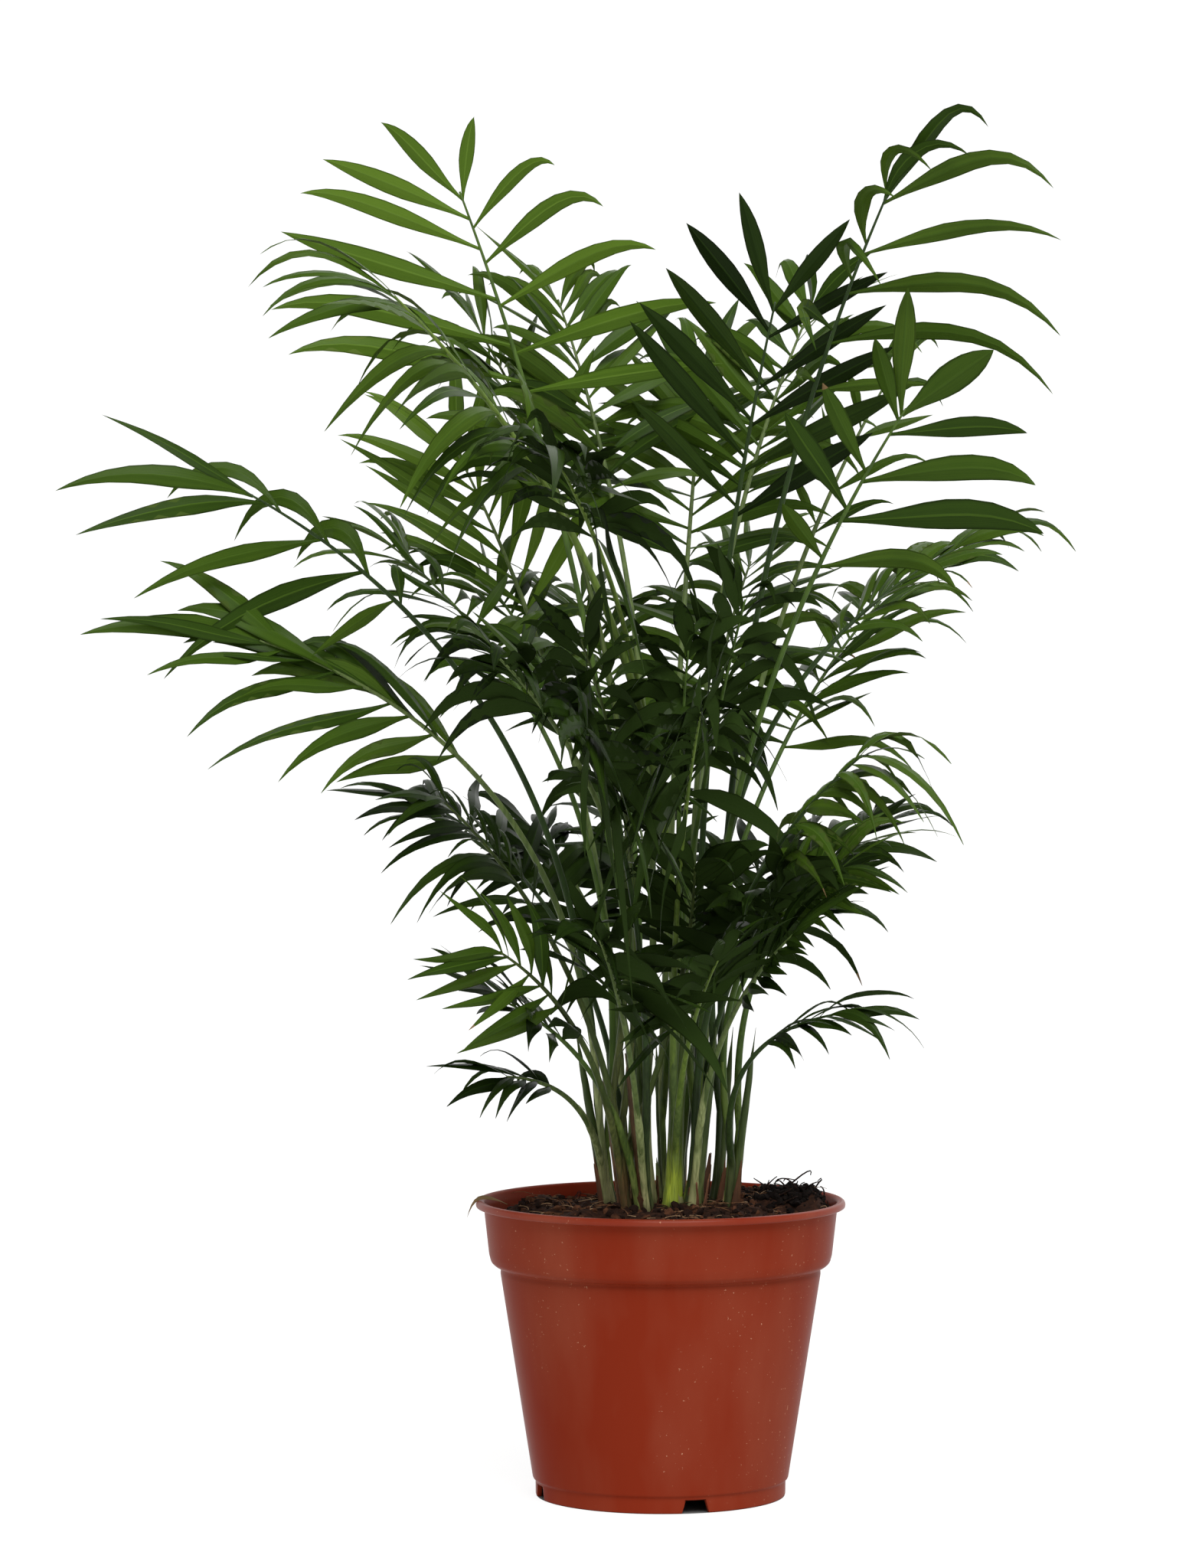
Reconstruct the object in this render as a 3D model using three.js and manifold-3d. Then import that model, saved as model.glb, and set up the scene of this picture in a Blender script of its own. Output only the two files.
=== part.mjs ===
// A parlour palm in a round nursery pot: pot, soil, a clump of canes, and one solid for each frond.
// Millimetres, +Z up. The origin is the middle of the pot's foot, on the surface that it stands on.
// +X is to the right as the plant is shown, and -Y is its front.

import Module from 'manifold-3d';
import * as THREE from 'three';
import { mergeVertices } from 'three/addons/utils/BufferGeometryUtils.js';

const wasm = await Module();
wasm.setup();

const CLEARANCE = 0.3; // air between one solid and the next
const WELD = 1e-4; // corners nearer than this are one corner

// Pot: a thin moulded cup with a collar, a rolled lip and a foot ring.
const POT = {
  height: 136,
  lipRadius: 85,
  collarTopRadius: 81.5,
  collarFootRadius: 78.9,
  collarFoot: 106.4,
  bodyTopRadius: 73.8,
  bodyFootRadius: 58.8,
  bodyFoot: 8,
  footRadius: 57.5,
  wall: 1.6,
  floor: 7,
  floorUnderside: 5.4,
  bossRadius: 12,
  sides: 32,
};
const NOTCH = { count: 4, width: 12, height: 5, firstAngle: -74.5 };
const DRAIN = { count: 4, radius: 4, ring: 42, firstAngle: -29.5 };

// Soil: fills the pot, a little higher round the canes, with lumps of peat.
const SOIL = { middle: 133, flatRadius: 46, edge: 126.5, edgeRadius: 78.4 };
const LUMP_TURN = 0.4; // radians, so that no corner of a lump falls on an edge of the soil
const PEAT_LUMPS = [
  { at: [60, 19, 130], size: [12, 13, 13] },
  { at: [47, 33, 129], size: [11, 9, 8] },
  { at: [-57, 16, 127], size: [9, 8, 7] },
  { at: [-38, -44, 127], size: [10, 7, 6] },
  { at: [14, -61, 125], size: [11, 6, 6] },
];

// Canes: where each stands on the soil, where it ends, and how thick it is at the foot.
const CANE_TOP_SHARE = 0.6;
const CANE_SIDES = 8;
const CANE_SAMPLES = 8; // places along a cane where its room is tested
const CANE_FLARE = { height: 0.16, width: 1.16 };
const CANES = [
  { name: 'cane_left_outer', foot: [-25, 8], top: [-36, 5, 196], width: 6 },
  { name: 'cane_left_front', foot: [-17, -12], top: [-25, -20, 188], width: 6 },
  { name: 'cane_left_back', foot: [-15, 24], top: [-23, 35, 190], width: 5.6 },
  { name: 'cane_left_inner', foot: [-7.5, -15], top: [-14, -25, 186], width: 5.4 },
  { name: 'cane_middle', foot: [-5.5, 5], top: [-10, 6, 192], width: 5.6 },
  { name: 'cane_middle_thick', foot: [6, -6], top: [9, -10, 206], width: 9 },
  { name: 'cane_middle_back', foot: [2, 20], top: [-1, 30, 190], width: 5.4 },
  { name: 'cane_right_thick', foot: [15.5, -9], top: [23, -15, 198], width: 7.4 },
  { name: 'cane_right_inner', foot: [17, 8], top: [20, 10, 202], width: 6.4 },
  { name: 'cane_right_back', foot: [18, 27], top: [24, 40, 190], width: 5.4 },
  { name: 'cane_back_left', foot: [-9, 37], top: [-14, 50, 184], width: 5 },
  { name: 'cane_back_right', foot: [9, 38], top: [12, 52, 186], width: 5 },
  { name: 'cane_right_middle', foot: [26.5, 13], top: [32, 17, 194], width: 5.6 },
  { name: 'cane_right_outer', foot: [33, -4], top: [41, -8, 196], width: 5.6 },
];
const CANE_CROWDING = 6; // how far in a frond's cane may stand, for each frond that it already has
// Shares of a cane that its fronds leave from, by the height of a frond's tip.
const CANE_LEVELS = { lowest: 0.26, lowestTip: 200, highest: 0.96, highestTip: 590 };

// Fronds: a three-sided rib, thick at its foot, with a row of leaflets down each side of its blade.
const RIB = {
  footRadius: 1.5, neckRadius: 1.15, tipRadius: 0.8, stalkSteps: 5,
  leafRoot: 2.6, // length of a leaflet's root along the rib
  rootShare: 0.28, // most that a root takes of the step from pair to pair
};
const LEAFLET = {
  widthShare: 0.112, // of its length
  thickShare: 0.0125,
  leastThick: 0.85,
  baseSweep: 72, // degrees off the rib, lowest leaflets
  tipSweep: 34,
  endSweep: 26, // the last pair
  lift: 14, // degrees that the rows rise out of the blade's plane
  firstPair: 0.86, // the lowest pair is this much shorter
  ageing: 1.3, // how late along the blade the leaflets grow shorter
};
const LEAFLET_CHANCE = { sweep: 5, lift: 6, length: 0.08, droop: 0.35 }; // degrees, or shares
const LEAFLET_CUTS = [1, 0.75]; // lengths tried, as shares, before a leaflet without room is left out
// Rings of a leaflet: how far along it each lies, and its width and thickness there as shares.
const LONG_LEAF = 84; // a leaflet longer than this bends in two places
const LONG_LEAF_RINGS = [{ along: 0.4, width: 1, thick: 1 }, { along: 0.73, width: 0.64, thick: 0.85 }];
const SHORT_LEAF_RINGS = [{ along: 0.45, width: 1, thick: 1 }];
const FRONT = [0, -1, 0.15];
const SKY = [0, 0, 1];

// neck: where the leaflets begin. leaf: the longest leaflet. tipLeaf: the last ones as a share of it.
// face: where the blade's upper side looks. droop: how far a leaflet's end hangs, as a share of it.
const OUTLINE_FRONDS = [
  { name: 'frond_top_left', cane: 'cane_middle', neck: [-61, 30, 505], tip: [-93, 35, 601],
    pairs: 6, leaf: 114, tipLeaf: 0.44, face: [-0.5, -0.86, 0.1], droop: 0.1, tone: 'light' },
  { name: 'frond_arching_left', cane: 'cane_middle_thick', neck: [-51, -60, 460], tip: [-118, -100, 544],
    pairs: 8, leaf: 86, tipLeaf: 0.9, face: SKY, droop: 0.4, tone: 'mid' },
  { name: 'frond_behind_left', cane: 'cane_left_back', neck: [-62, 85, 405], tip: [-96, 110, 482],
    pairs: 7, leaf: 78, tipLeaf: 0.74, face: FRONT, droop: 0.08, tone: 'light' },
  { name: 'frond_crown', cane: 'cane_right_inner', neck: [34, 10, 447], tip: [52, -10, 547],
    pairs: 8, leaf: 88, tipLeaf: 0.6, face: FRONT, droop: 0.06, tone: 'dark' },
  { name: 'frond_top_right', cane: 'cane_right_middle', neck: [65, -14, 492], tip: [102, -38, 595],
    pairs: 7, leaf: 112, tipLeaf: 0.66, face: [0.55, -0.8, 0.25], droop: 0.34, tone: 'mid' },
  { name: 'frond_right_open', cane: 'cane_right_thick', neck: [67, -50, 419], tip: [108, -74, 496],
    pairs: 6, leaf: 94, tipLeaf: 0.5, face: [0.5, -0.85, 0.15], droop: 0.16, tone: 'mid' },
  { name: 'frond_right_arching', cane: 'cane_right_middle', neck: [81, 8, 394], tip: [150, 26, 442],
    pairs: 8, leaf: 60, tipLeaf: 0.8, face: SKY, droop: 0.42, tone: 'mid' },
  { name: 'frond_behind_right', cane: 'cane_right_back', neck: [72, 90, 440], tip: [114, 118, 524],
    pairs: 7, leaf: 84, tipLeaf: 0.7, face: FRONT, droop: 0.2, tone: 'light' },
  { name: 'frond_left_high', cane: 'cane_left_outer', neck: [-116, -18, 406], tip: [-188, -34, 460],
    pairs: 6, leaf: 122, tipLeaf: 0.98, face: [0.1, -0.5, 1], droop: 0.38, tone: 'mid' },
  { name: 'frond_left_middle', cane: 'cane_left_outer', neck: [-90, -30, 338], tip: [-180, -60, 393],
    pairs: 8, leaf: 94, tipLeaf: 0.9, face: [0, -0.6, 1], droop: 0.42, tone: 'mid' },
  { name: 'frond_left_low', cane: 'cane_left_front', neck: [-58, -48, 272], tip: [-100, -78, 324],
    pairs: 7, leaf: 62, tipLeaf: 0.8, face: SKY, droop: 0.4, tone: 'dark' },
  { name: 'frond_left_fan', cane: 'cane_left_front', neck: [-45, -66, 228], tip: [-72, -100, 256],
    pairs: 7, leaf: 60, tipLeaf: 0.84, face: SKY, droop: 0.16, tone: 'mid' },
  { name: 'frond_lowest_left', cane: 'cane_left_outer', neck: [-50, -28, 190], tip: [-70, -42, 196],
    pairs: 4, leaf: 36, tipLeaf: 0.9, face: SKY, droop: 0.3, tone: 'dark' },
  { name: 'frond_right_low', cane: 'cane_right_thick', neck: [50, -56, 298], tip: [88, -84, 342],
    pairs: 7, leaf: 68, tipLeaf: 0.84, face: SKY, droop: 0.34, tone: 'mid' },
  { name: 'frond_right_fan', cane: 'cane_right_outer', neck: [52, -20, 267], tip: [82, -34, 290],
    pairs: 6, leaf: 60, tipLeaf: 0.9, face: [0.1, -0.6, 1], droop: 0.12, tone: 'light' },
  { name: 'frond_right_lower', cane: 'cane_right_back', neck: [48, 34, 250], tip: [74, 60, 276],
    pairs: 6, leaf: 54, tipLeaf: 0.86, face: SKY, droop: 0.3, tone: 'dark' },
  { name: 'frond_right_lowest', cane: 'cane_right_outer', neck: [46, -42, 210], tip: [80, -60, 226],
    pairs: 6, leaf: 56, tipLeaf: 0.9, face: [0, -0.4, 1], droop: 0.5, tone: 'dark' },
  { name: 'frond_right_under', cane: 'cane_right_thick', neck: [36, -50, 232], tip: [58, -74, 262],
    pairs: 6, leaf: 54, tipLeaf: 0.9, face: [0, -0.5, 1], droop: 0.34, tone: 'dark' },
  { name: 'frond_left_under', cane: 'cane_left_inner', neck: [-44, -44, 212], tip: [-72, -60, 232],
    pairs: 6, leaf: 58, tipLeaf: 0.9, face: [0, -0.4, 1], droop: 0.5, tone: 'dark' },
  { name: 'frond_front_high', cane: 'cane_middle_thick', neck: [-30, -74, 438], tip: [-48, -118, 474],
    pairs: 7, leaf: 68, tipLeaf: 0.8, face: SKY, droop: 0.42, tone: 'dark' },
  { name: 'frond_front_left', cane: 'cane_middle', neck: [-44, -92, 350], tip: [-74, -130, 388],
    pairs: 7, leaf: 70, tipLeaf: 0.8, face: SKY, droop: 0.36, tone: 'dark' },
  { name: 'frond_front_middle', cane: 'cane_left_inner', neck: [-22, -95, 318], tip: [-36, -136, 356],
    pairs: 7, leaf: 70, tipLeaf: 0.8, face: SKY, droop: 0.38, tone: 'dark' },
  { name: 'frond_front_right', cane: 'cane_middle_thick', neck: [10, -88, 318], tip: [16, -130, 362],
    pairs: 7, leaf: 74, tipLeaf: 0.8, face: SKY, droop: 0.36, tone: 'dark' },
  { name: 'frond_front_low', cane: 'cane_left_inner', neck: [-18, -70, 226], tip: [-28, -110, 262],
    pairs: 7, leaf: 62, tipLeaf: 0.8, face: SKY, droop: 0.38, tone: 'dark' },
  { name: 'frond_front_lowest', cane: 'cane_middle_thick', neck: [14, -62, 222], tip: [24, -98, 252],
    pairs: 6, leaf: 58, tipLeaf: 0.84, face: SKY, droop: 0.42, tone: 'dark' },
];

// The rest of the crown in tiers: angles in degrees round +Z from +X, reach from the clump's middle.
const TIER_FRONDS = [
  { name: 'frond_back_low', count: 5, from: 22, to: 170, height: 300, reach: 122, blade: 46,
    pairs: 7, leaf: 70, tipLeaf: 0.76, droop: 0.34, tone: 'dark' },
  { name: 'frond_lower_inner', count: 2, from: 262, to: 318, height: 286, reach: 74, blade: 50,
    pairs: 7, leaf: 62, tipLeaf: 0.76, droop: 0.32, tone: 'dark' },
  { name: 'frond_back_middle', count: 5, from: 40, to: 172, height: 428, reach: 146, blade: 70,
    pairs: 8, leaf: 82, tipLeaf: 0.7, droop: 0.26, tone: 'mid' },
  { name: 'frond_inner', count: 3, from: 205, to: 330, height: 400, reach: 66, blade: 74,
    pairs: 8, leaf: 72, tipLeaf: 0.7, droop: 0.28, tone: 'dark' },
  { name: 'frond_back_tall', count: 4, from: 40, to: 168, height: 540, reach: 112, blade: 92,
    pairs: 8, leaf: 90, tipLeaf: 0.6, droop: 0.16, tone: 'mid' },
];
const CLUMP_MIDDLE = [4, 6];
const NECK_REACH = 0.52; // share of the reach at which a tier frond's leaflets begin
// To find room, a tier frond may turn by so many degrees.
const TIER_TURNS = [0, 6, -6, 12, -12, 18, -18, 24, -24, 30, -30];
const TIER_CANES = 7; // nearest canes that it may grow from
const TIER_STEPS = [0, -0.14, 0.12, -0.28, -0.42]; // share of the cane that its foot may move along it
const RIB_ROOM = { samples: 120, apart: 4.3 }; // least distance between the middles of two ribs
const TIER_CHANCE = { angle: 0.22, reach: 0.14, height: 0.05 }; // shares
const TIER_SEED = 26;
const LEAFLET_SEED = 700;

const LEAF_COLOURS = { light: 0x4f8a34, mid: 0x34692a, dark: 0x234a20 };

const RIGHT_FACE = 0; // side faces of the rib, in the order of its ring's corners
const LEFT_FACE = 2;
const down = new THREE.Vector3(0, 0, -1);

function vector([x, y, z]) {
  return new THREE.Vector3(x, y, z);
}

// A repeatable draw between -1 and 1.
function makeDraw(seed) {
  let state = seed;
  return () => {
    state = (state * 1664525 + 1013904223) % 4294967296;
    return state / 2147483648 - 1;
  };
}

// Closed solid from a three.js geometry. Flat triangles at a pole are dropped, and an inside-out one
// is turned.
function solidOf(geometry) {
  geometry.deleteAttribute('normal');
  geometry.deleteAttribute('uv');
  const merged = mergeVertices(geometry, WELD);
  const corners = merged.index.array;
  const triangles = [];
  for (let i = 0; i < corners.length; i += 3) {
    const [a, b, c] = corners.slice(i, i + 3);
    if (a !== b && b !== c && c !== a) triangles.push(a, b, c);
  }
  const vertProperties = new Float32Array(merged.attributes.position.array);
  const build = (list) =>
    new wasm.Manifold(new wasm.Mesh({ numProp: 3, vertProperties, triVerts: new Uint32Array(list) }));
  const solid = build(triangles);
  return solid.volume() > 0 ? solid : build(triangles.reverse());
}

function geometryOf(solid) {
  const { vertProperties, triVerts } = solid.getMesh();
  const geometry = new THREE.BufferGeometry();
  geometry.setAttribute('position', new THREE.BufferAttribute(vertProperties, 3));
  geometry.setIndex(new THREE.BufferAttribute(triVerts, 1));
  return geometry;
}

// Moves every corner of a unit shape to where place(x, y, z) says.
function shaped(geometry, place) {
  const corners = geometry.attributes.position;
  for (let i = 0; i < corners.count; i += 1) {
    const spot = place(corners.getX(i), corners.getY(i), corners.getZ(i));
    corners.setXYZ(i, spot.x, spot.y, spot.z);
  }
  return geometry;
}

function lathe(profile, sides) {
  const points = profile.map(([r, z]) => new THREE.Vector2(r, z));
  return new THREE.LatheGeometry(points, sides).rotateX(Math.PI / 2);
}

function aroundZ(geometry, radius, degrees, z) {
  const angle = THREE.MathUtils.degToRad(degrees);
  geometry.rotateZ(angle);
  return geometry.translate(radius * Math.cos(angle), radius * Math.sin(angle), z);
}

// ---- pot and soil

function potSolid() {
  const { wall } = POT;
  const step = 1.6; // height of the sloped underside of the collar and of the lip
  const outside = [
    [0, 0], [POT.bossRadius, 0], [POT.bossRadius + 0.6, POT.floorUnderside],
    [POT.footRadius - 2.5, POT.floorUnderside], [POT.footRadius - 2.1, 0],
    [POT.footRadius, 0], [POT.footRadius + 0.1, POT.bodyFoot - 0.8],
    [POT.bodyFootRadius, POT.bodyFoot], [POT.bodyTopRadius, POT.collarFoot - 2.6],
    [POT.collarFootRadius - 1, POT.collarFoot - 1.8], [POT.collarFootRadius, POT.collarFoot],
    [POT.collarTopRadius, POT.height - 5.4], [POT.lipRadius - step, POT.height - 5],
    [POT.lipRadius, POT.height - 3], [POT.lipRadius - 0.8, POT.height - 0.6],
    [POT.lipRadius - 2.6, POT.height],
  ];
  const inside = [
    [POT.lipRadius - 4.4, POT.height - 1], [POT.collarTopRadius - wall, POT.height - 5.4],
    [POT.collarFootRadius - wall, POT.collarFoot + 0.2], [POT.bodyTopRadius - wall, POT.collarFoot - 1.2],
    [POT.bodyFootRadius - wall, POT.floor + 0.6], [0, POT.floor],
  ];
  let pot = solidOf(lathe([...outside, ...inside], POT.sides));
  for (let i = 0; i < NOTCH.count; i += 1) {
    const block = new THREE.BoxGeometry(10, NOTCH.width, 2 * NOTCH.height);
    const angle = NOTCH.firstAngle + (i * 360) / NOTCH.count;
    pot = pot.subtract(solidOf(aroundZ(block, POT.footRadius, angle, 0)));
  }
  for (let i = 0; i < DRAIN.count; i += 1) {
    const hole = new THREE.CylinderGeometry(DRAIN.radius, DRAIN.radius, 10, 8).rotateX(Math.PI / 2);
    const angle = DRAIN.firstAngle + (i * 360) / DRAIN.count;
    pot = pot.subtract(solidOf(aroundZ(hole, DRAIN.ring, angle, POT.floor)));
  }
  return pot;
}

function soilSolid() {
  const gap = CLEARANCE + 0.1;
  const innerFoot = POT.bodyFootRadius - POT.wall - gap;
  const innerTop = POT.bodyTopRadius - POT.wall - gap;
  let soil = solidOf(lathe([
    [0, POT.floor + gap], [innerFoot - 0.2, POT.floor + gap + 0.6],
    [innerTop, POT.collarFoot - 0.8], [POT.collarFootRadius - POT.wall - gap, POT.collarFoot + 0.8],
    [SOIL.edgeRadius, SOIL.edge], [66, SOIL.edge + 1], [SOIL.flatRadius, SOIL.middle], [0, SOIL.middle],
  ], POT.sides));
  for (const { at, size } of PEAT_LUMPS) {
    const lump = new THREE.SphereGeometry(1, 7, 5).rotateY(LUMP_TURN);
    soil = soil.add(solidOf(lump.scale(...size).translate(...at)));
  }
  return soil;
}

// ---- canes

const canes = new Map(CANES.map((cane) => [cane.name, {
  ...cane,
  start: new THREE.Vector3(cane.foot[0], cane.foot[1], SOIL.middle + CLEARANCE),
  end: vector(cane.top),
}]));
for (const cane of canes.values()) {
  cane.middles = new THREE.LineCurve3(cane.end, cane.start).getPoints(CANE_SAMPLES);
}

function caneRadius(cane, share) {
  const taper = 1 - (1 - CANE_TOP_SHARE) * share;
  const flare = 1 + (CANE_FLARE.width - 1) * Math.max(0, 1 - share / CANE_FLARE.height);
  return (cane.width / 2) * taper * flare;
}

// The flat foot stays level, and each higher ring is level too, moved along the cane's lean.
function caneSolid(cane) {
  const shares = [0, CANE_FLARE.height, (1 + CANE_FLARE.height) / 2, 1];
  const unit = new THREE.CylinderGeometry(1, 1, 1, CANE_SIDES, shares.length - 1);
  return solidOf(shaped(unit, (x, y, z) => {
    const share = shares[Math.round((y + 0.5) * (shares.length - 1))];
    const radius = caneRadius(cane, share);
    const spot = cane.start.clone().lerp(cane.end, share);
    return spot.add(new THREE.Vector3(z * radius, x * radius, 0));
  }));
}

// ---- fronds

// A curve from start that passes through neck at the share of its length that neck divides.
function frondPath(start, neck, tip) {
  const stalk = start.distanceTo(neck);
  const share = stalk / (stalk + neck.distanceTo(tip));
  const bend = neck.clone()
    .addScaledVector(start, -((1 - share) ** 2))
    .addScaledVector(tip, -(share ** 2))
    .divideScalar(2 * share * (1 - share));
  return { curve: new THREE.QuadraticBezierCurve3(start, bend, tip), share, bend };
}

// The frond leaves its cane on the side that its stalk first leans to.
function rootedPath(cane, level, neck, tip) {
  const middle = cane.start.clone().lerp(cane.end, level);
  const { bend } = frondPath(middle, neck, tip);
  const lean = cane.end.clone().sub(cane.start).normalize();
  const side = bend.sub(middle).normalize().sub(lean).setZ(0).normalize();
  const off = caneRadius(cane, level) + RIB.footRadius + CLEARANCE;
  return frondPath(middle.addScaledVector(side, off), neck, tip);
}

// The higher a frond's tip, the higher it leaves its cane.
function caneLevel(tip) {
  return THREE.MathUtils.mapLinear(
    THREE.MathUtils.clamp(tip[2], CANE_LEVELS.lowestTip, CANE_LEVELS.highestTip),
    CANE_LEVELS.lowestTip, CANE_LEVELS.highestTip, CANE_LEVELS.lowest, CANE_LEVELS.highest,
  );
}

function placeFrond(frond, cane, step = 0) {
  const level = Math.min(caneLevel(frond.tip) + step, CANE_LEVELS.highest);
  const path = rootedPath(cane, level, vector(frond.neck), vector(frond.tip));
  return {
    ...frond,
    path,
    cane,
    middles: path.curve.getPoints(RIB_ROOM.samples),
    up: vector(frond.face).normalize(),
    stations: ribStations(path, frond.pairs),
  };
}

function pathIsClear(frond, others) {
  const keepsOff = (spots, radius) =>
    frond.middles.every((spot) => spots.every((other) => spot.distanceTo(other) > radius));
  const standing = [...canes.values()].filter((cane) => cane !== frond.cane);
  return others.every((other) => keepsOff(other.middles, RIB_ROOM.apart))
    && standing.every((cane) => keepsOff(cane.middles, RIB_ROOM.apart + cane.width / 4));
}

// Canes in the order of how far out their feet lie towards an angle, less those already crowded.
function canesTowards(angle, placed) {
  const score = (cane) => (cane.foot[0] - CLUMP_MIDDLE[0]) * Math.cos(angle)
    + (cane.foot[1] - CLUMP_MIDDLE[1]) * Math.sin(angle)
    - CANE_CROWDING * placed.filter((frond) => frond.cane === cane).length;
  return [...canes.values()].sort((a, b) => score(b) - score(a)).slice(0, TIER_CANES);
}

// A frond of a tier at its drawn place, or turned a little where it would touch another.
function tierFrond(tier, name, degrees, reach, height, placed) {
  for (const turn of TIER_TURNS) {
    const angle = THREE.MathUtils.degToRad(degrees + turn);
    const out = (distance, z) => [
      CLUMP_MIDDLE[0] + distance * Math.cos(angle), CLUMP_MIDDLE[1] + distance * Math.sin(angle), z,
    ];
    const frond = {
      ...tier, name, neck: out(reach * NECK_REACH, height - tier.blade), tip: out(reach, height), face: SKY,
    };
    for (const cane of canesTowards(angle, placed)) {
      for (const step of TIER_STEPS) {
        const grown = placeFrond(frond, cane, step);
        if (pathIsClear(grown, placed)) return grown;
      }
    }
  }
  throw new Error(`no room for ${name}`);
}

function allFronds() {
  const placed = OUTLINE_FRONDS.map((frond) => placeFrond(frond, canes.get(frond.cane)));
  const draw = makeDraw(TIER_SEED);
  for (const tier of TIER_FRONDS) {
    const spread = (tier.to - tier.from) / tier.count;
    for (let i = 0; i < tier.count; i += 1) {
      const degrees = tier.from + spread * (i + 0.5 + TIER_CHANCE.angle * draw());
      const reach = tier.reach * (1 + TIER_CHANCE.reach * draw());
      const height = tier.height * (1 + TIER_CHANCE.height * draw());
      placed.push(tierFrond(tier, `${tier.name}_${i + 1}`, degrees, reach, height, placed));
    }
  }
  return placed;
}

function ribRadius(share, neckShare) {
  if (share < neckShare) {
    return THREE.MathUtils.lerp(RIB.footRadius, RIB.neckRadius, share / neckShare);
  }
  return THREE.MathUtils.lerp(RIB.neckRadius, RIB.tipRadius, (share - neckShare) / (1 - neckShare));
}

// Side and keel of the blade where the rib runs along: keel points away from the upper side.
function bladeFrame(along, face) {
  const keel = face.clone().addScaledVector(along, -face.dot(along)).normalize().negate();
  return { keel, side: along.clone().cross(keel) };
}

// A closed skin put together from rings of corners.
class Skin {
  corners = [];

  triangles = [];

  corner(spot) {
    return this.corners.push(spot.x, spot.y, spot.z) / 3 - 1;
  }

  // Corners that coincide leave out a triangle, so a ring can close on fewer corners than the last.
  quad(a, b, c, d) {
    for (const [p, q, r] of [[a, b, c], [a, c, d]]) {
      if (p !== q && q !== r && r !== p) this.triangles.push(p, q, r);
    }
  }

  tube(rings) {
    for (let i = 1; i < rings.length; i += 1) {
      const [low, high] = [rings[i - 1], rings[i]];
      low.forEach((corner, k) => {
        const next = (k + 1) % low.length;
        this.quad(corner, low[next], high[next], high[k]);
      });
    }
  }

  solid() {
    const vertProperties = new Float32Array(this.corners);
    const triVerts = new Uint32Array(this.triangles);
    return new wasm.Manifold(new wasm.Mesh({ numProp: 3, vertProperties, triVerts }));
  }
}

// Shares of the path at which the rib has a ring: along the stalk, and at both ends of each leaflet's
// root. A pair's left root ends where its right root begins.
function ribStations(path, pairs) {
  const stations = [];
  for (let i = 0; i < RIB.stalkSteps; i += 1) stations.push((path.share * i) / RIB.stalkSteps);
  const blade = 1 - path.share;
  const root = Math.min(RIB.leafRoot / path.curve.getLength(), RIB.rootShare * (blade / pairs));
  for (let pair = 0; pair < pairs; pair += 1) {
    const start = path.share + (blade * pair) / pairs;
    stations.push(start, start + root, start + 2 * root);
  }
  stations.push(1 - root, 1);
  return stations;
}

// Corners of one ring of the rib: the upper ridge, then the lower edges on the +side and -side.
function ribRing(path, share, face) {
  const { keel, side } = bladeFrame(path.curve.getTangent(share), face);
  const radius = ribRadius(share, path.share);
  const spot = (across, low) => path.curve.getPoint(share)
    .addScaledVector(side, across * radius).addScaledVector(keel, low * radius);
  const [sin, cos] = [Math.sin(Math.PI / 6), Math.cos(Math.PI / 6)];
  return [spot(0, -1), spot(cos, sin), spot(-cos, sin)];
}

// The rib and its leaflets as one skin. Each leaflet grows out of a side face between two rings.
function frondSkin(frond, leaflets) {
  const skin = new Skin();
  const rings = frond.stations.map((share) =>
    ribRing(frond.path, share, frond.up).map((spot) => skin.corner(spot)));
  const [first, last] = [rings[0], rings.at(-1)];
  skin.quad(first[0], first[1], first[2], first[2]);
  skin.quad(last[0], last[2], last[1], last[1]);
  for (let i = 1; i < rings.length; i += 1) {
    for (let k = 0; k < 3; k += 1) {
      const next = (k + 1) % 3;
      const loop = [rings[i - 1][k], rings[i][k], rings[i][next], rings[i - 1][next]];
      const leaflet = leaflets.find((leaf) => leaf.station === i && leaf.faceNumber === k);
      if (leaflet) addLeaflet(skin, loop, leaflet);
      else skin.quad(...loop);
    }
  }
  return skin;
}

// A leaflet: a narrow three-sided blade, broadest near its middle, whose end hangs. Its rings have
// two edges and a keel. The keel takes the two lower corners of its root.
function addLeaflet(skin, loop, { root, aim, keel, forward, length, droop, faceNumber }, spare = 0) {
  const fullWidth = LEAFLET.widthShare * length;
  const fullThick = Math.max(LEAFLET.leastThick, LEAFLET.thickShare * length);
  const centre = (along) => root.clone()
    .addScaledVector(aim, along * length)
    .addScaledVector(down, droop * length * along * along);
  const rings = [loop];
  for (const ring of length > LONG_LEAF ? LONG_LEAF_RINGS : SHORT_LEAF_RINGS) {
    const along = aim.clone().addScaledVector(down, 2 * droop * ring.along).normalize();
    const under = keel.clone().addScaledVector(along, -keel.dot(along)).normalize();
    const across = along.clone().cross(under);
    if (across.dot(forward) < 0) across.negate();
    const half = (fullWidth * ring.width) / 2 + spare;
    const middle = centre(ring.along);
    const low = skin.corner(middle.clone().addScaledVector(under, fullThick * ring.thick + spare));
    const back = skin.corner(middle.clone().addScaledVector(across, -half).addScaledVector(under, -spare));
    const fore = skin.corner(middle.clone().addScaledVector(across, half).addScaledVector(under, -spare));
    rings.push(faceNumber === RIGHT_FACE ? [back, fore, low, low] : [low, low, fore, back]);
  }
  const tip = skin.corner(centre(1 + spare / length));
  rings.push([tip, tip, tip, tip]);
  skin.tube(rings);
}

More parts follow.
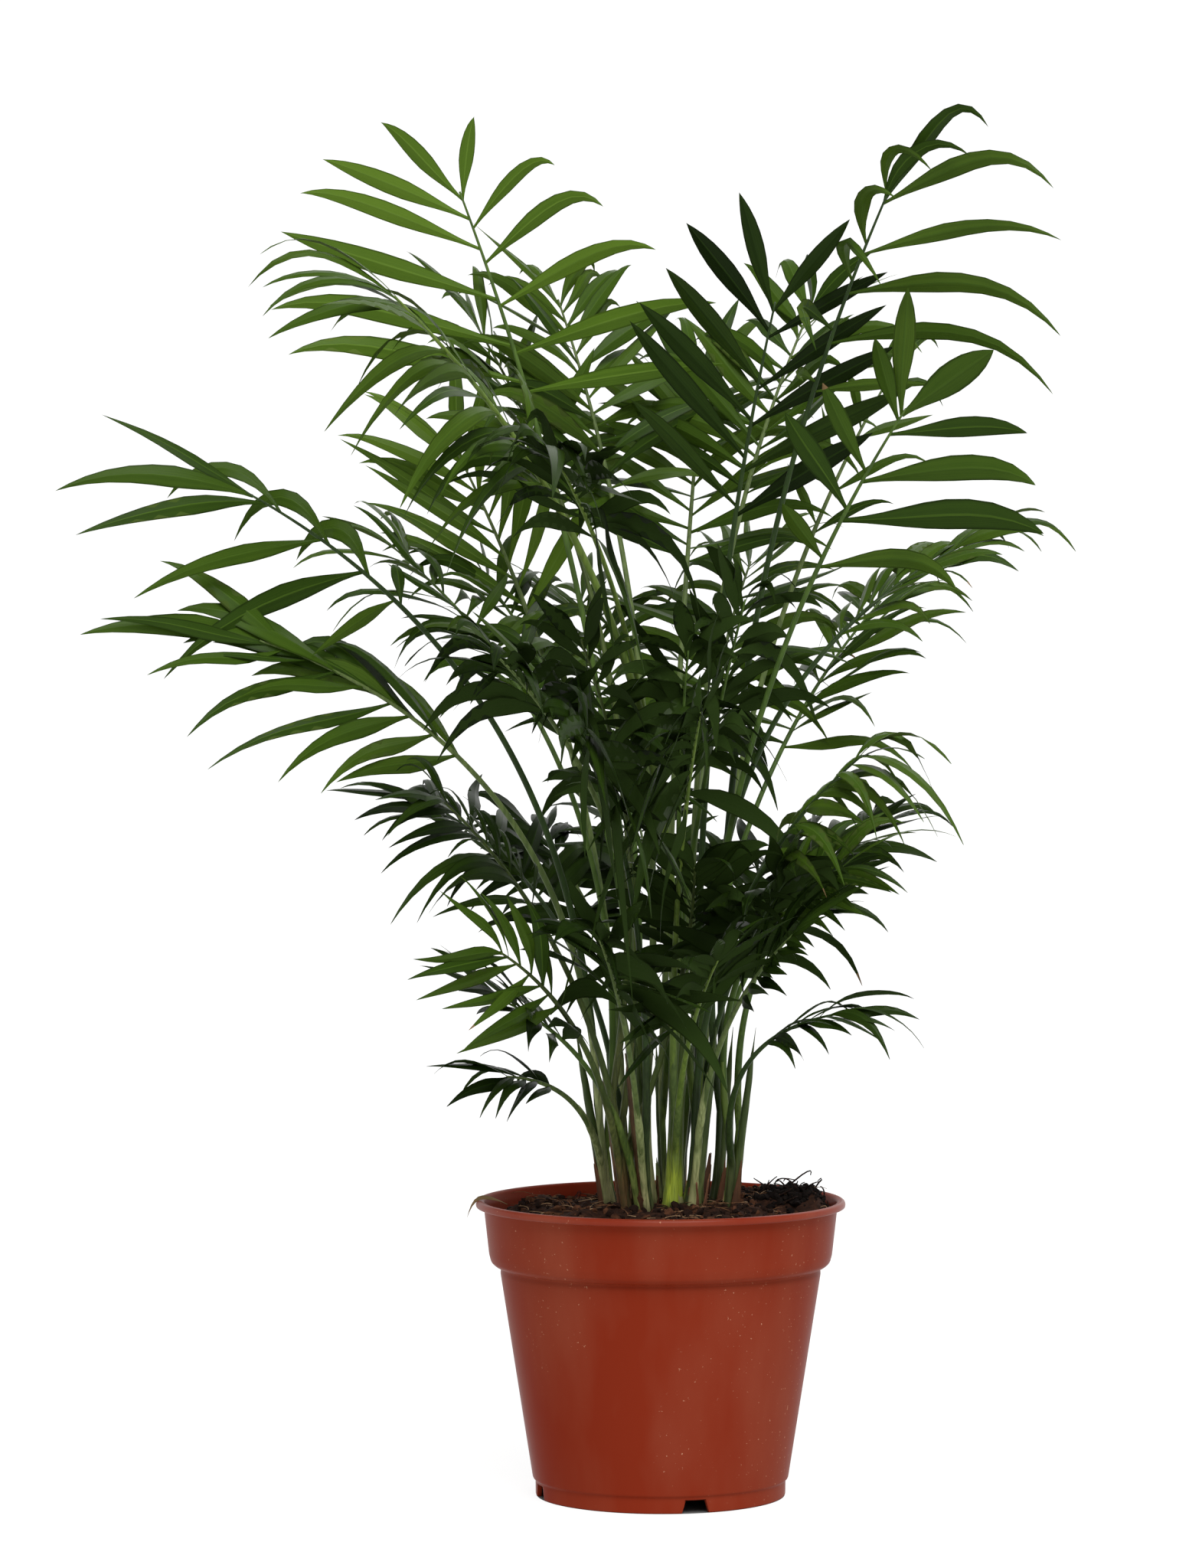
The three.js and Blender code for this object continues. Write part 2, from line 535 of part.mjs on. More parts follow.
// The same leaflet by itself, fattened by spare, to try for room.
function leafletProbe(frond, leaflet, spare) {
  const skin = new Skin();
  const corners = [leaflet.station - 1, leaflet.station].map((station) =>
    ribRing(frond.path, frond.stations[station], frond.up).map((spot) => skin.corner(spot)));
  const k = leaflet.faceNumber;
  const next = (k + 1) % 3;
  const loop = [corners[0][k], corners[1][k], corners[1][next], corners[0][next]];
  skin.quad(loop[3], loop[2], loop[1], loop[0]);
  addLeaflet(skin, loop, leaflet, spare);
  return skin.solid();
}

// Every leaflet of a frond: two rows, and a last pair at the tip.
function leafletsOf(frond, seed) {
  const { path, stations } = frond;
  const draw = makeDraw(seed);
  const leaflets = [];
  const grow = (station, faceNumber, along, sweepDegrees, shorten) => {
    const share = (stations[station - 1] + stations[station]) / 2;
    const forward = path.curve.getTangent(share);
    const { keel, side } = bladeFrame(forward, frond.up);
    const hand = faceNumber === RIGHT_FACE ? 1 : -1;
    const sweep = THREE.MathUtils.degToRad(sweepDegrees + LEAFLET_CHANCE.sweep * draw());
    const lift = THREE.MathUtils.degToRad(LEAFLET.lift + LEAFLET_CHANCE.lift * draw());
    const ageing = 1 - (1 - frond.tipLeaf) * along ** LEAFLET.ageing;
    const length = frond.leaf * ageing * shorten * (1 + LEAFLET_CHANCE.length * draw());
    const outward = side.multiplyScalar(hand * Math.cos(lift)).addScaledVector(keel, -Math.sin(lift));
    const aim = forward.clone().multiplyScalar(Math.cos(sweep)).addScaledVector(outward, Math.sin(sweep));
    leaflets.push({
      station, faceNumber, root: path.curve.getPoint(share), aim, keel, forward, length,
      droop: frond.droop * (1 + LEAFLET_CHANCE.droop * draw()),
    });
  };
  for (let pair = 0; pair < frond.pairs; pair += 1) {
    const along = pair / frond.pairs;
    const sweep = THREE.MathUtils.lerp(LEAFLET.baseSweep, LEAFLET.tipSweep, along);
    const first = RIB.stalkSteps + 3 * pair + 1;
    const shorten = pair === 0 ? LEAFLET.firstPair : 1;
    grow(first, LEFT_FACE, along, sweep, shorten);
    grow(first + 1, RIGHT_FACE, along, sweep, shorten);
  }
  for (const face of [LEFT_FACE, RIGHT_FACE]) {
    grow(stations.length - 1, face, 1, LEAFLET.endSweep, 1);
  }
  return leaflets;
}

// ---- building

const palm = new THREE.Group();
const obstacles = [];

function addObstacle(owner, solid) {
  obstacles.push({ owner, solid, box: solid.boundingBox() });
}

function boxesMeet(a, b) {
  return [0, 1, 2].every((k) => a.min[k] <= b.max[k] && b.min[k] <= a.max[k]);
}

function touches(probe, owner) {
  const box = probe.boundingBox();
  return obstacles.some((other) => {
    if (other.owner === owner || !boxesMeet(box, other.box)) return false;
    const shared = probe.intersect(other.solid);
    const meets = !shared.isEmpty();
    shared.delete();
    return meets;
  });
}

function addPiece(name, solid, colour, roughness) {
  const material = new THREE.MeshStandardMaterial({ color: colour, roughness, metalness: 0 });
  const piece = new THREE.Mesh(geometryOf(solid), material);
  piece.name = name;
  palm.add(piece);
}

const pot = potSolid();
addObstacle('pot', pot);
addPiece('pot', pot, 0x8c3424, 0.42);

const soil = soilSolid();
addObstacle('soil', soil);
addPiece('soil', soil, 0x2b1d15, 0.95);

for (const cane of canes.values()) {
  const solid = caneSolid(cane);
  addObstacle(cane.name, solid);
  addPiece(cane.name, solid, 0x7f9a45, 0.5);
}

const fronds = allFronds();
for (const frond of fronds) addObstacle(`${frond.name} rib`, frondSkin(frond, []).solid());

fronds.forEach((frond, number) => {
  const kept = [];
  for (const leaflet of leafletsOf(frond, LEAFLET_SEED + number)) {
    for (const shorter of LEAFLET_CUTS) {
      const leaf = { ...leaflet, length: leaflet.length * shorter };
      const probe = leafletProbe(frond, leaf, CLEARANCE);
      if (!touches(probe, `${frond.name} rib`)) {
        addObstacle(frond.name, leafletProbe(frond, leaf, 0));
        kept.push(leaf);
        break;
      }
    }
  }
  addPiece(frond.name, frondSkin(frond, kept).solid(), LEAF_COLOURS[frond.tone], 0.45);
});

export default palm;
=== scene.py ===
import itertools
import math

import bpy
import numpy as np
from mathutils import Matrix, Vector


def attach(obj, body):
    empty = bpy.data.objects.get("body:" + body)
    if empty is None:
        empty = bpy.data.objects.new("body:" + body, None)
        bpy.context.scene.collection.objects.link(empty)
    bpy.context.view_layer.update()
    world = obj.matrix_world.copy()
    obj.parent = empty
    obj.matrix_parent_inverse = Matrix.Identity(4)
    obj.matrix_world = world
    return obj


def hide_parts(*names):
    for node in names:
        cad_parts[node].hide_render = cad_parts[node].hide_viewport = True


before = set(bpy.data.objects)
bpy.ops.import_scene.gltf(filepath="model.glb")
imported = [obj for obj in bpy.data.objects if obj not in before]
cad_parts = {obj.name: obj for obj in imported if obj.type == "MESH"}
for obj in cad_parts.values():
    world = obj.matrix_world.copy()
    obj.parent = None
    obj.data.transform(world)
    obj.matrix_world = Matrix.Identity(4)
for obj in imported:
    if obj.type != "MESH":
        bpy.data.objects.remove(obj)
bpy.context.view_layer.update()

# A parlour palm in its nursery pot. Metres, +Z up, the origin in the middle of the pot's foot.
sky = (0, 0, 1)
front = (0, -1, 0.15)
down = np.array([0.0, 0.0, -1.0])


# Small sums on arrays whose last axis is x, y, z

def unit(v):
    return v / np.linalg.norm(v, axis=-1, keepdims=True)


def dot(a, b):
    return (a * b).sum(-1, keepdims=True)


def lerp(a, b, share):
    return a + (b - a) * share


# 3x^2 - 2x^3 for x from 0 to 1, flat outside
def ease(x):
    x = np.clip(x, 0, 1)
    return x * x * (3 - 2 * x)


# noise: random numbers at the corners of cubes of a given size, blended by ease along x, y and z
def softNoise(points, cell, seed):
    table = np.random.default_rng(seed).uniform(-1, 1, 4096)
    spot = points / cell
    low = np.floor(spot).astype(np.int64)
    share = ease(spot - low)
    total = np.zeros(points.shape[:-1])
    for corner in itertools.product((0, 1), repeat=3):
        at = low + corner
        key = (at[..., 0] * 73856093 ^ at[..., 1] * 19349663 ^ at[..., 2] * 83492791) % 4096
        total += table[key] * np.prod(np.where(np.array(corner) == 1, share, 1 - share), axis=-1)
    return total


# a repeatable draw between -1 and 1
def makeDraw(seed):
    state = seed

    def draw():
        nonlocal state
        state = (state * 1664525 + 1013904223) % 4294967296
        return state / 2147483648 - 1

    return draw


# Surfaces

# the angles of so many even steps round a circle
def roundSteps(sides):
    return np.arange(sides) * 2 * math.pi / sides


# points at a radius, an angle and a height round +Z
def turned(radius, angle, height):
    return np.stack([radius * np.cos(angle), radius * np.sin(angle), height + 0 * angle], -1)


# quads between neighbouring rows of a grid; a closed grid joins its last column to its first
def gridFaces(rows, columns, closed=True):
    i, k = np.mgrid[0:rows - 1, 0:columns if closed else columns - 1]
    following = (k + 1) % columns
    here = i * columns
    quads = np.stack([here + k, here + following, here + columns + following, here + columns + k], -1)
    return quads.reshape(-1, 4)


# the same faces for each of many copies that have so many corners each
def repeatFaces(faces, copies, size):
    return (faces[None] + (np.arange(copies) * size)[:, None, None]).reshape(-1, faces.shape[-1])


# rings (copies, rows, sides) closed at each end by a fan round one more corner
def closedTubes(rings, firstTips, lastTips):
    copies, rows, sides = rings.shape[:3]
    size = rows * sides + 2
    corners = np.concatenate([rings.reshape(copies, -1, 3), firstTips[:, None], lastTips[:, None]], 1)
    k = np.arange(sides)
    following = (k + 1) % sides
    top = (rows - 1) * sides
    foot = np.stack([np.full(sides, rows * sides), following, k], -1)
    head = np.stack([np.full(sides, rows * sides + 1), top + k, top + following], -1)
    quads = repeatFaces(gridFaces(rows, sides), copies, size)
    fans = repeatFaces(np.concatenate([foot, head]), copies, size)
    return corners, quads.tolist() + fans.tolist()


# the slot of each face of such tubes, from one slot a tube
def tubeSlots(shade, rows, sides):
    return np.concatenate([np.repeat(shade, (rows - 1) * sides), np.repeat(shade, 2 * sides)])


# rings square to a path: centre + radius * outline * (cos a * e1 + sin a * e2), e1 towards face
def ringsAlong(centres, radii, sides, face, outline=None):
    along = unit(np.gradient(centres, axis=-2))
    e1 = unit(face - dot(face, along) * along)
    e2 = np.cross(along, e1)
    angle = roundSteps(sides)
    wide = np.ones(sides) if outline is None else outline(angle)
    first, second = (wide * np.cos(angle))[:, None], (wide * np.sin(angle))[:, None]
    spokes = first * e1[..., None, :] + second * e2[..., None, :]
    return centres[..., None, :] + radii[..., None, None] * spokes


# a mesh in the scene from corners and faces
def newMesh(name, corners, faces):
    mesh = bpy.data.meshes.new(name)
    mesh.from_pydata(corners.reshape(-1, 3), [], faces)
    holder = bpy.data.objects.new(name, mesh)
    bpy.context.collection.objects.link(holder)
    return holder


# the same with smooth faces and its finishes; slots says which of them each face has
def newSurface(name, corners, faces, finishes, slots=0):
    holder = newMesh(name, corners, faces)
    for finish in finishes:
        holder.data.materials.append(finish)
    count = len(faces)
    holder.data.polygons.foreach_set("use_smooth", np.ones(count, bool))
    holder.data.polygons.foreach_set("material_index", np.broadcast_to(slots, count).astype(np.int32))
    return holder


# one piece, riding on the plant's only body; an edge sharper than sharp degrees isn't smoothed
def addPiece(name, corners, faces, finishes, slots=0, uv=None, sharp=None):
    piece = newSurface(name, corners, faces, finishes, slots)
    mesh = piece.data
    if uv is not None:
        layer = mesh.uv_layers.new(name="leafUv")
        owners = np.empty(len(mesh.loops), np.int32)
        mesh.loops.foreach_get("vertex_index", owners)
        layer.data.foreach_set("uv", uv.reshape(-1, 2)[owners].ravel())
    if sharp is not None:
        mesh.set_sharp_from_angle(angle=math.radians(sharp))
    mesh.update()
    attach(piece, "root")
    return piece


# Finishes

# a colour as seen, 0 to 255, made linear
def paint(red, green, blue):
    seen = np.array([red, green, blue]) / 255
    linear = np.where(seen <= 0.04045, seen / 12.92, ((seen + 0.055) / 1.055) ** 2.4)
    return (*linear.tolist(), 1.0)


# a shader node with its settings and its inputs, each a value or another node's output; returns one output
def addNode(tree, kind, inputs, out=0, **settings):
    node = tree.nodes.new("ShaderNode" + kind)
    for label, value in settings.items():
        setattr(node, label, value)
    for label, given in inputs.items():
        socket = node.inputs[label] if isinstance(label, int) else next(
            s for s in node.inputs if s.name == label and s.enabled)
        if isinstance(given, bpy.types.NodeSocket):
            tree.links.new(given, socket)
        else:
            socket.default_value = given
    return [s for s in node.outputs if s.enabled and out in (0, s.name)][0]


def objectPlace(tree):
    return addNode(tree, "TexCoord", {}, "Object")


def stretchedNoise(tree, coordinates, stretch, scale, detail=3.0):
    place = addNode(tree, "Mapping", {"Vector": coordinates, "Scale": stretch})
    return addNode(tree, "TexNoise", {"Vector": place, "Scale": scale, "Detail": detail})


def rangeOf(tree, value, low, high, start, end, **settings):
    return addNode(tree, "MapRange", {"Value": value, "From Min": low, "From Max": high, "To Min": start,
                                      "To Max": end}, **settings)


def mixColours(tree, factor, first, second, way="MIX"):
    return addNode(tree, "Mix", {"Factor": factor, "A": first, "B": second}, data_type="RGBA", blend_type=way)


# a * b + c, or another sum of three numbers
def sumOf(tree, a, b, c, operation="MULTIPLY_ADD"):
    return addNode(tree, "Math", {0: a, 1: b, 2: c}, operation=operation)


# a shader node group with named inputs, colours where four numbers are given; it gives a Colour and a number
def newGroup(name, gives, **inputs):
    group = bpy.data.node_groups.new(name, "ShaderNodeTree")
    for label, value in inputs.items():
        kind = "NodeSocketColor" if isinstance(value, tuple) else "NodeSocketFloat"
        group.interface.new_socket(name=label, in_out="INPUT", socket_type=kind).default_value = value
    group.interface.new_socket(name="Colour", in_out="OUTPUT", socket_type="NodeSocketColor")
    group.interface.new_socket(name=gives, in_out="OUTPUT", socket_type="NodeSocketFloat")
    return group, group.nodes.new("NodeGroupInput").outputs


def endGroup(group, colour, number):
    out = group.nodes.new("NodeGroupOutput")
    group.links.new(colour, out.inputs[0])
    group.links.new(number, out.inputs[1])
    return group


plain = (0.5, 0.5, 0.5, 1.0)  # every finish puts its own colours in its place


# mottle: two sizes of noise on object coordinates blend the base colour with a second one
def makeMottle():
    group, given = newGroup("mottle", "Height", Colour=plain, Second=plain, Scale=60.0, Amount=0.5)
    patches = stretchedNoise(group, objectPlace(group), (1, 1, 1), given["Scale"], 4.0)
    mask = rangeOf(group, patches, 0.35, 0.7, 0.0, given["Amount"])
    return endGroup(group, mixColours(group, mask, given["Colour"], given["Second"]), patches)


# fibres: noise drawn out along Z, for canes, sheaths and stalks that stand up. Below Low the colour is Foot,
# above High it is Colour, and Earth shows on the lowest few millimetres.
def makeFibres():
    group, given = newGroup("fibres", "Height", Colour=plain, Second=plain, Foot=plain, Earth=plain,
                            Low=0.138, High=0.165, Scale=900.0, Amount=0.6)
    coordinates = objectPlace(group)
    strands = stretchedNoise(group, coordinates, (1, 1, 0.05), given["Scale"], 2.0)
    patches = stretchedNoise(group, coordinates, (1, 1, 0.3), 90.0)
    height = addNode(group, "SeparateXYZ", {0: coordinates}, "Z")
    rise = rangeOf(group, height, given["Low"], given["High"], 0.0, 1.0, interpolation_type="SMOOTHSTEP")
    colour = mixColours(group, rise, given["Foot"], given["Colour"])
    for noise, low, high in ((strands, 0.38, 0.66), (patches, 0.42, 0.68)):
        mask = rangeOf(group, noise, low, high, 0.0, given["Amount"])
        colour = mixColours(group, mask, colour, given["Second"])
    earth = rangeOf(group, sumOf(group, patches, 0.012, height), 0.138, 0.143, 0.5, 0.0)
    return endGroup(group, mixColours(group, earth, colour, given["Earth"]), strands)


# veins: fine lines along a leaflet, and a darker edge, by how far across it a point lies: the midvein is 0.5
def makeVeins():
    group, given = newGroup("veins", "Height", Colour=plain, Second=plain, Edge=(0.5, 0.5, 0.4, 1.0),
                            Amount=0.3)
    place = addNode(group, "UVMap", {}, uv_map="leafUv")
    lines = stretchedNoise(group, place, (16, 0.6, 1), 1.4, 2.0)
    clouds = stretchedNoise(group, objectPlace(group), (1, 1, 1), 38.0, 2.0)
    colour = given["Colour"]
    for noise, low, high in ((lines, 0.42, 0.62), (clouds, 0.35, 0.72)):
        mask = rangeOf(group, noise, low, high, 0.0, given["Amount"])
        colour = mixColours(group, mask, colour, given["Second"])
    inside = sumOf(group, addNode(group, "SeparateXYZ", {0: place}, "X"), 0.5, 0.43, "COMPARE")
    edge = rangeOf(group, inside, 0.0, 1.0, 0.8, 0.0)
    return endGroup(group, mixColours(group, edge, colour, given["Edge"], "MULTIPLY"), lines)


# dust and sheen: sparse pale specks of dust, and a soft film drawn out upright that dulls the gloss and lays
# faint pale upright streaks, which are partly dust and partly a painted sheen
def makeDust():
    group, given = newGroup("dustAndSheen", "Roughness", Colour=plain, Dust=plain, Roughness=0.4, Amount=0.5)
    coordinates = objectPlace(group)
    specks = stretchedNoise(group, coordinates, (1, 1, 1), 700.0, 2.0)
    dustAndSheenFilm = stretchedNoise(group, coordinates, (1, 1, 0.35), 26.0, 4.0)
    dustAndSheenMask = rangeOf(group, dustAndSheenFilm, 0.4, 0.75, 0.0, given["Amount"])
    speckMask = rangeOf(group, specks, 0.7, 0.75, 0.0, rangeOf(group, dustAndSheenFilm, 0.48, 0.6, 0.0, 0.7))
    # the film's faint pale upright streaks are a painted sheen as well as dust
    faint = rangeOf(group, dustAndSheenMask, 0.0, 1.0, 0.0, 0.16)
    colour = mixColours(group, faint, given["Colour"], given["Dust"])
    dull = sumOf(group, dustAndSheenMask, 0.2, given["Roughness"])
    return endGroup(group, mixColours(group, speckMask, colour, given["Dust"]), dull)


mottle, fibres, veins, dustAndSheen = makeMottle(), makeFibres(), makeVeins(), makeDust()


# a Principled finish whose colour comes from one group, with bump from the group's Height
def newFinish(name, group, values, roughness, bump=0.0, depth=0.0005, **sockets):
    material = bpy.data.materials.new(name)
    material.use_nodes = True
    tree = material.node_tree
    shader = tree.nodes["Principled BSDF"]
    shader.inputs["Roughness"].default_value = roughness
    for label, value in sockets.items():
        shader.inputs[label.replace("_", " ")].default_value = value
    node = tree.nodes.new("ShaderNodeGroup")
    node.node_tree = group
    for label, value in values.items():
        node.inputs[label].default_value = value
    tree.links.new(node.outputs["Colour"], shader.inputs["Base Color"])
    if "Roughness" in node.outputs:
        tree.links.new(node.outputs["Roughness"], shader.inputs["Roughness"])
    if bump:
        given = {"Strength": bump, "Distance": depth, "Height": node.outputs["Height"]}
        tree.links.new(addNode(tree, "Bump", given), shader.inputs["Normal"])
    return material


# The plan of the palm: the same rule as the solids, so each stalk runs where its solid does

canePlan = {
    "soilTop": 0.133,
    "clearance": 0.0003,
    "topShare": 0.6,  # width at the top as a share of the width at the foot
    "flareHeight": 0.16,
    "flareWidth": 1.16,
    "samples": 8,
    "crowding": 0.006,  # how far in a cane counts for each frond it already bears
    "lowest": 0.26,  # share of the cane where the lowest frond leaves, and the height of its tip
    "lowestTip": 0.2,
    "highest": 0.96,
    "highestTip": 0.59,
    # where each stands on the soil, where it ends, and its width at the foot
    "rows": {
        "left_outer": ((-0.025, 0.008), (-0.036, 0.005, 0.196), 0.006),
        "left_front": ((-0.017, -0.012), (-0.025, -0.02, 0.188), 0.006),
        "left_back": ((-0.015, 0.024), (-0.023, 0.035, 0.19), 0.0056),
        "left_inner": ((-0.0075, -0.015), (-0.014, -0.025, 0.186), 0.0054),
        "middle": ((-0.0055, 0.005), (-0.01, 0.006, 0.192), 0.0056),
        "middle_thick": ((0.006, -0.006), (0.009, -0.01, 0.206), 0.009),
        "middle_back": ((0.002, 0.02), (-0.001, 0.03, 0.19), 0.0054),
        "right_thick": ((0.0155, -0.009), (0.023, -0.015, 0.198), 0.0074),
        "right_inner": ((0.017, 0.008), (0.02, 0.01, 0.202), 0.0064),
        "right_back": ((0.018, 0.027), (0.024, 0.04, 0.19), 0.0054),
        "back_left": ((-0.009, 0.037), (-0.014, 0.05, 0.184), 0.005),
        "back_right": ((0.009, 0.038), (0.012, 0.052, 0.186), 0.005),
        "right_middle": ((0.0265, 0.013), (0.032, 0.017, 0.194), 0.0056),
        "right_outer": ((0.033, -0.004), (0.041, -0.008, 0.196), 0.0056),
    },
}

# cane: which one bears it. neck and tip: where its leaflets begin, and where it ends. pairs: how many there
# are. leaf: the longest one. tipLeaf: the last ones as a share of it. face: where the upper side looks.
# droop: how far a leaflet's end hangs, as a share of it. sweeps: degrees off the rib for the lowest, the
# highest and the last pair. stout: its stalk and rib are that much thicker. sides: what the one and the other
# row of leaflets do otherwise than their frond. ends: what the two leaflets of the last pair do otherwise
# than their rows. The other words are explained in leafPlan.
def frondRow(name, cane, neck, tip, pairs, leaf, tipLeaf, **more):
    return {"name": "frond_" + name, "cane": cane, "neck": neck, "tip": tip, "pairs": pairs, "leaf": leaf,
            "tipLeaf": tipLeaf, "tone": "dark", **more}


frondRows = [
    frondRow("top_left", "middle", (-0.061, 0.03, 0.505), (-0.093, 0.035, 0.601), 5, 0.128, 0.42,
             tone="light", face=(-0.1, -1, 0.1), droop=0.05, sweeps=(62, 42, 25), wide=1.02, wild=0.35,
             bend=(0.1, 0, -0.04), blunt=0.35,
             sides=(dict(longer=0.8, turn=32, hook=0.16), dict(hook=0.06, longer=1.1))),
    frondRow("arching_left", "middle_thick", (-0.051, -0.06, 0.46), (-0.118, -0.1, 0.544), 12, 0.092, 0.88,
             tone="mid", face=(0, -0.5, 1), droop=0.34, sweeps=(62, 24, 12), wide=0.98, wild=1.3, hook=0.14,
             bend=(-0.12, 0, -0.22), lift=4, stout=1.4),
    frondRow("behind_left", "left_back", (-0.062, 0.085, 0.405), (-0.096, 0.11, 0.482), 7, 0.086, 0.74,
             tone="light", face=front, droop=0.05, sweeps=(46, 30, 20)),
    frondRow("crown", "right_inner", (0.034, 0.01, 0.447), (0.052, -0.01, 0.547), 5, 0.088, 0.66, face=front,
             droop=0.02, sweeps=(54, 46, 29), wide=1.16, wild=0.4, hook=0.01, blunt=0.5, curl=0,
             sides=(dict(turn=-3), dict())),
    frondRow("top_right", "right_middle", (0.065, -0.014, 0.492), (0.102, -0.038, 0.595), 5, 0.106, 0.78,
             tone="mid", face=(0.3, -0.9, 0.25), droop=0.22, sweeps=(66, 34, 12), wild=0.9, hook=0.16,
             first=0.66, firstPair=0.5, sides=(dict(), dict(longer=0.7, droop=0.5, bend=(0.5, -0.1, 0.0)))),
    frondRow("right_open", "right_thick", (0.067, -0.05, 0.419), (0.108, -0.074, 0.496), 4, 0.098, 0.5,
             tone="mid", face=(0.2, -1, 0.15), droop=0.06, sweeps=(58, 50, 16), wide=1.5, wild=0.6, blunt=0.7,
             first=0.34, firstPair=0.62, sides=(dict(hook=0.2), dict(longer=0.62, hook=0)),
             ends=(dict(wide=2), dict(sweep=30, longer=1.3))),
    frondRow("right_arching", "right_middle", (0.081, 0.008, 0.394), (0.15, 0.026, 0.442), 10, 0.06, 0.84,
             tone="mid", face=(0, -0.25, 1), droop=0.26, sweeps=(42, 24, 14), wide=1.3, wild=1.5, hook=0.18,
             sides=(dict(longer=0.8), dict())),
    frondRow("behind_right", "right_back", (0.072, 0.09, 0.44), (0.114, 0.118, 0.524), 4, 0.05, 0.8,
             tone="mid", face=front, droop=0.1, sweeps=(40, 22, 12), wide=0.8, wild=1.3, hook=0.3),
    frondRow("left_high", "left_outer", (-0.116, -0.018, 0.406), (-0.188, -0.034, 0.46), 4, 0.102, 0.9,
             tone="mid", face=(0.1, -1, 0.6), droop=0.08, sweeps=(62, 30, 10), wide=1.2, wild=0.8,
             bend=(-0.02, 0, -0.2), firstPair=0.5,
             sides=(dict(droop=0.5, longer=0.84, lift=-6, turn=-12), dict(droop=0.02, turn=6)),
             ends=(dict(droop=0.2, hook=-0.08, wide=0.9, bend=(0, 0, 0)),
                   dict(bend=(0, 0, -0.3), longer=0.94))),
    frondRow("left_middle", "left_outer", (-0.09, -0.03, 0.338), (-0.18, -0.06, 0.393), 8, 0.084, 0.8,
             tone="mid", face=(0, -1, 0.7), droop=0.06, sweeps=(50, 24, 12), wide=1.05, wild=1.5,
             bend=(-0.06, 0, 0), sides=(dict(droop=0.26, turn=-26, lift=-8, wide=1.6), dict(hook=0.1))),
    frondRow("left_low", "left_front", (-0.058, -0.048, 0.272), (-0.1, -0.078, 0.324), 8, 0.068, 0.8,
             face=(0, -0.6, 1), droop=0.2, sweeps=(60, 44, 40), wide=0.9, wild=1.1, hook=0.22,
             bend=(-0.26, 0, -0.06), sides=(dict(longer=0.62, hook=0.3), dict(turn=-20, droop=0.26))),
    frondRow("left_fan", "left_front", (-0.045, -0.066, 0.228), (-0.072, -0.1, 0.256), 6, 0.052, 0.94,
             tone="mid", face=(0, -1, 0.5), droop=0.08, sweeps=(62, 38, 20), wide=1.1, wild=1.5,
             bend=(-0.24, 0, 0.02), lift=2, sides=(dict(longer=0.86), dict(longer=0.9))),
    frondRow("lowest_left", "left_outer", (-0.05, -0.028, 0.19), (-0.07, -0.042, 0.196), 4, 0.027, 1.1,
             face=(0, -0.7, 1), droop=0.14, sweeps=(52, 34, 24), wide=1.2, wild=1.6, hook=0.3,
             bend=(-0.3, 0, -0.05)),
    frondRow("right_low", "right_thick", (0.05, -0.056, 0.298), (0.088, -0.084, 0.342), 8, 0.056, 0.9,
             tone="mid", face=(0, -0.5, 1), droop=0.22, sweeps=(50, 36, 26), wide=1.2, wild=1.8, hook=0.3,
             bend=(0.36, 0, -0.4), sides=(dict(droop=0.06, longer=0.72, turn=-12), dict(longer=0.9)),
             ends=(dict(sweep=42, longer=1.08), dict())),
    frondRow("right_fan", "right_outer", (0.052, -0.02, 0.267), (0.082, -0.034, 0.29), 7, 0.054, 1.05,
             tone="mid", face=(0.1, -0.9, 1), droop=0.14, sweeps=(52, 34, 26), wide=1.1, wild=1.7,
             bend=(0.24, 0, -0.2), sides=(dict(longer=0.6, hook=0.1), dict())),
    frondRow("right_lower", "right_back", (0.048, 0.034, 0.25), (0.074, 0.06, 0.276), 8, 0.041, 0.86,
             face=sky, droop=0.1, wide=0.9, wild=1.3),
    frondRow("right_lowest", "right_outer", (0.046, -0.042, 0.21), (0.08, -0.06, 0.226), 7, 0.046, 0.94,
             face=(0, -0.4, 1), droop=0.1, sweeps=(46, 28, 18), wild=1.7, hook=0.24, bend=(0.05, 0, -0.3),
             sides=(dict(longer=0.66, turn=-10), dict(lift=4))),
    frondRow("right_under", "right_thick", (0.036, -0.05, 0.232), (0.058, -0.074, 0.262), 7, 0.044, 0.9,
             face=(0, -0.7, 1), droop=0.12, wide=1.1, wild=1.2, bend=(0.3, 0, 0.02),
             sides=(dict(longer=0.6), dict())),
    frondRow("left_under", "left_inner", (-0.044, -0.044, 0.212), (-0.072, -0.06, 0.232), 8, 0.054, 0.86,
             face=(0, -0.3, 1), droop=0.14, wide=1.2, wild=1.3),
    frondRow("front_high", "middle_thick", (-0.03, -0.074, 0.438), (-0.048, -0.118, 0.474), 14, 0.07, 0.84,
             face=(0.3, -0.4, 1), droop=0.44, wide=1.12, wild=2.4, hook=0.12),
    frondRow("front_left", "middle", (-0.044, -0.092, 0.35), (-0.074, -0.13, 0.388), 12, 0.06, 0.8,
             face=(-0.3, -0.5, 1), droop=0.5, wide=1.3, wild=2.2, hook=0.15),
    frondRow("front_middle", "left_inner", (-0.022, -0.095, 0.318), (-0.036, -0.136, 0.356), 13, 0.06, 0.8,
             face=(0.4, -0.6, 1), droop=0.6, wide=1.35, wild=2.2, hook=0.15),
    frondRow("front_right", "middle_thick", (0.01, -0.088, 0.318), (0.016, -0.13, 0.362), 13, 0.058, 0.8,
             face=(-0.2, -0.7, 1), droop=0.6, wide=1.35, wild=2.2, hook=0.15),
    frondRow("front_low", "left_inner", (-0.018, -0.07, 0.226), (-0.028, -0.11, 0.262), 12, 0.06, 0.8,
             face=(0.2, -0.5, 1), droop=0.35, wide=1.4, wild=2),
    frondRow("front_lowest", "middle_thick", (0.014, -0.062, 0.222), (0.024, -0.098, 0.252), 9, 0.05, 0.84,
             face=(-0.3, -0.4, 1), droop=0.2, wide=1.3, wild=2),
]

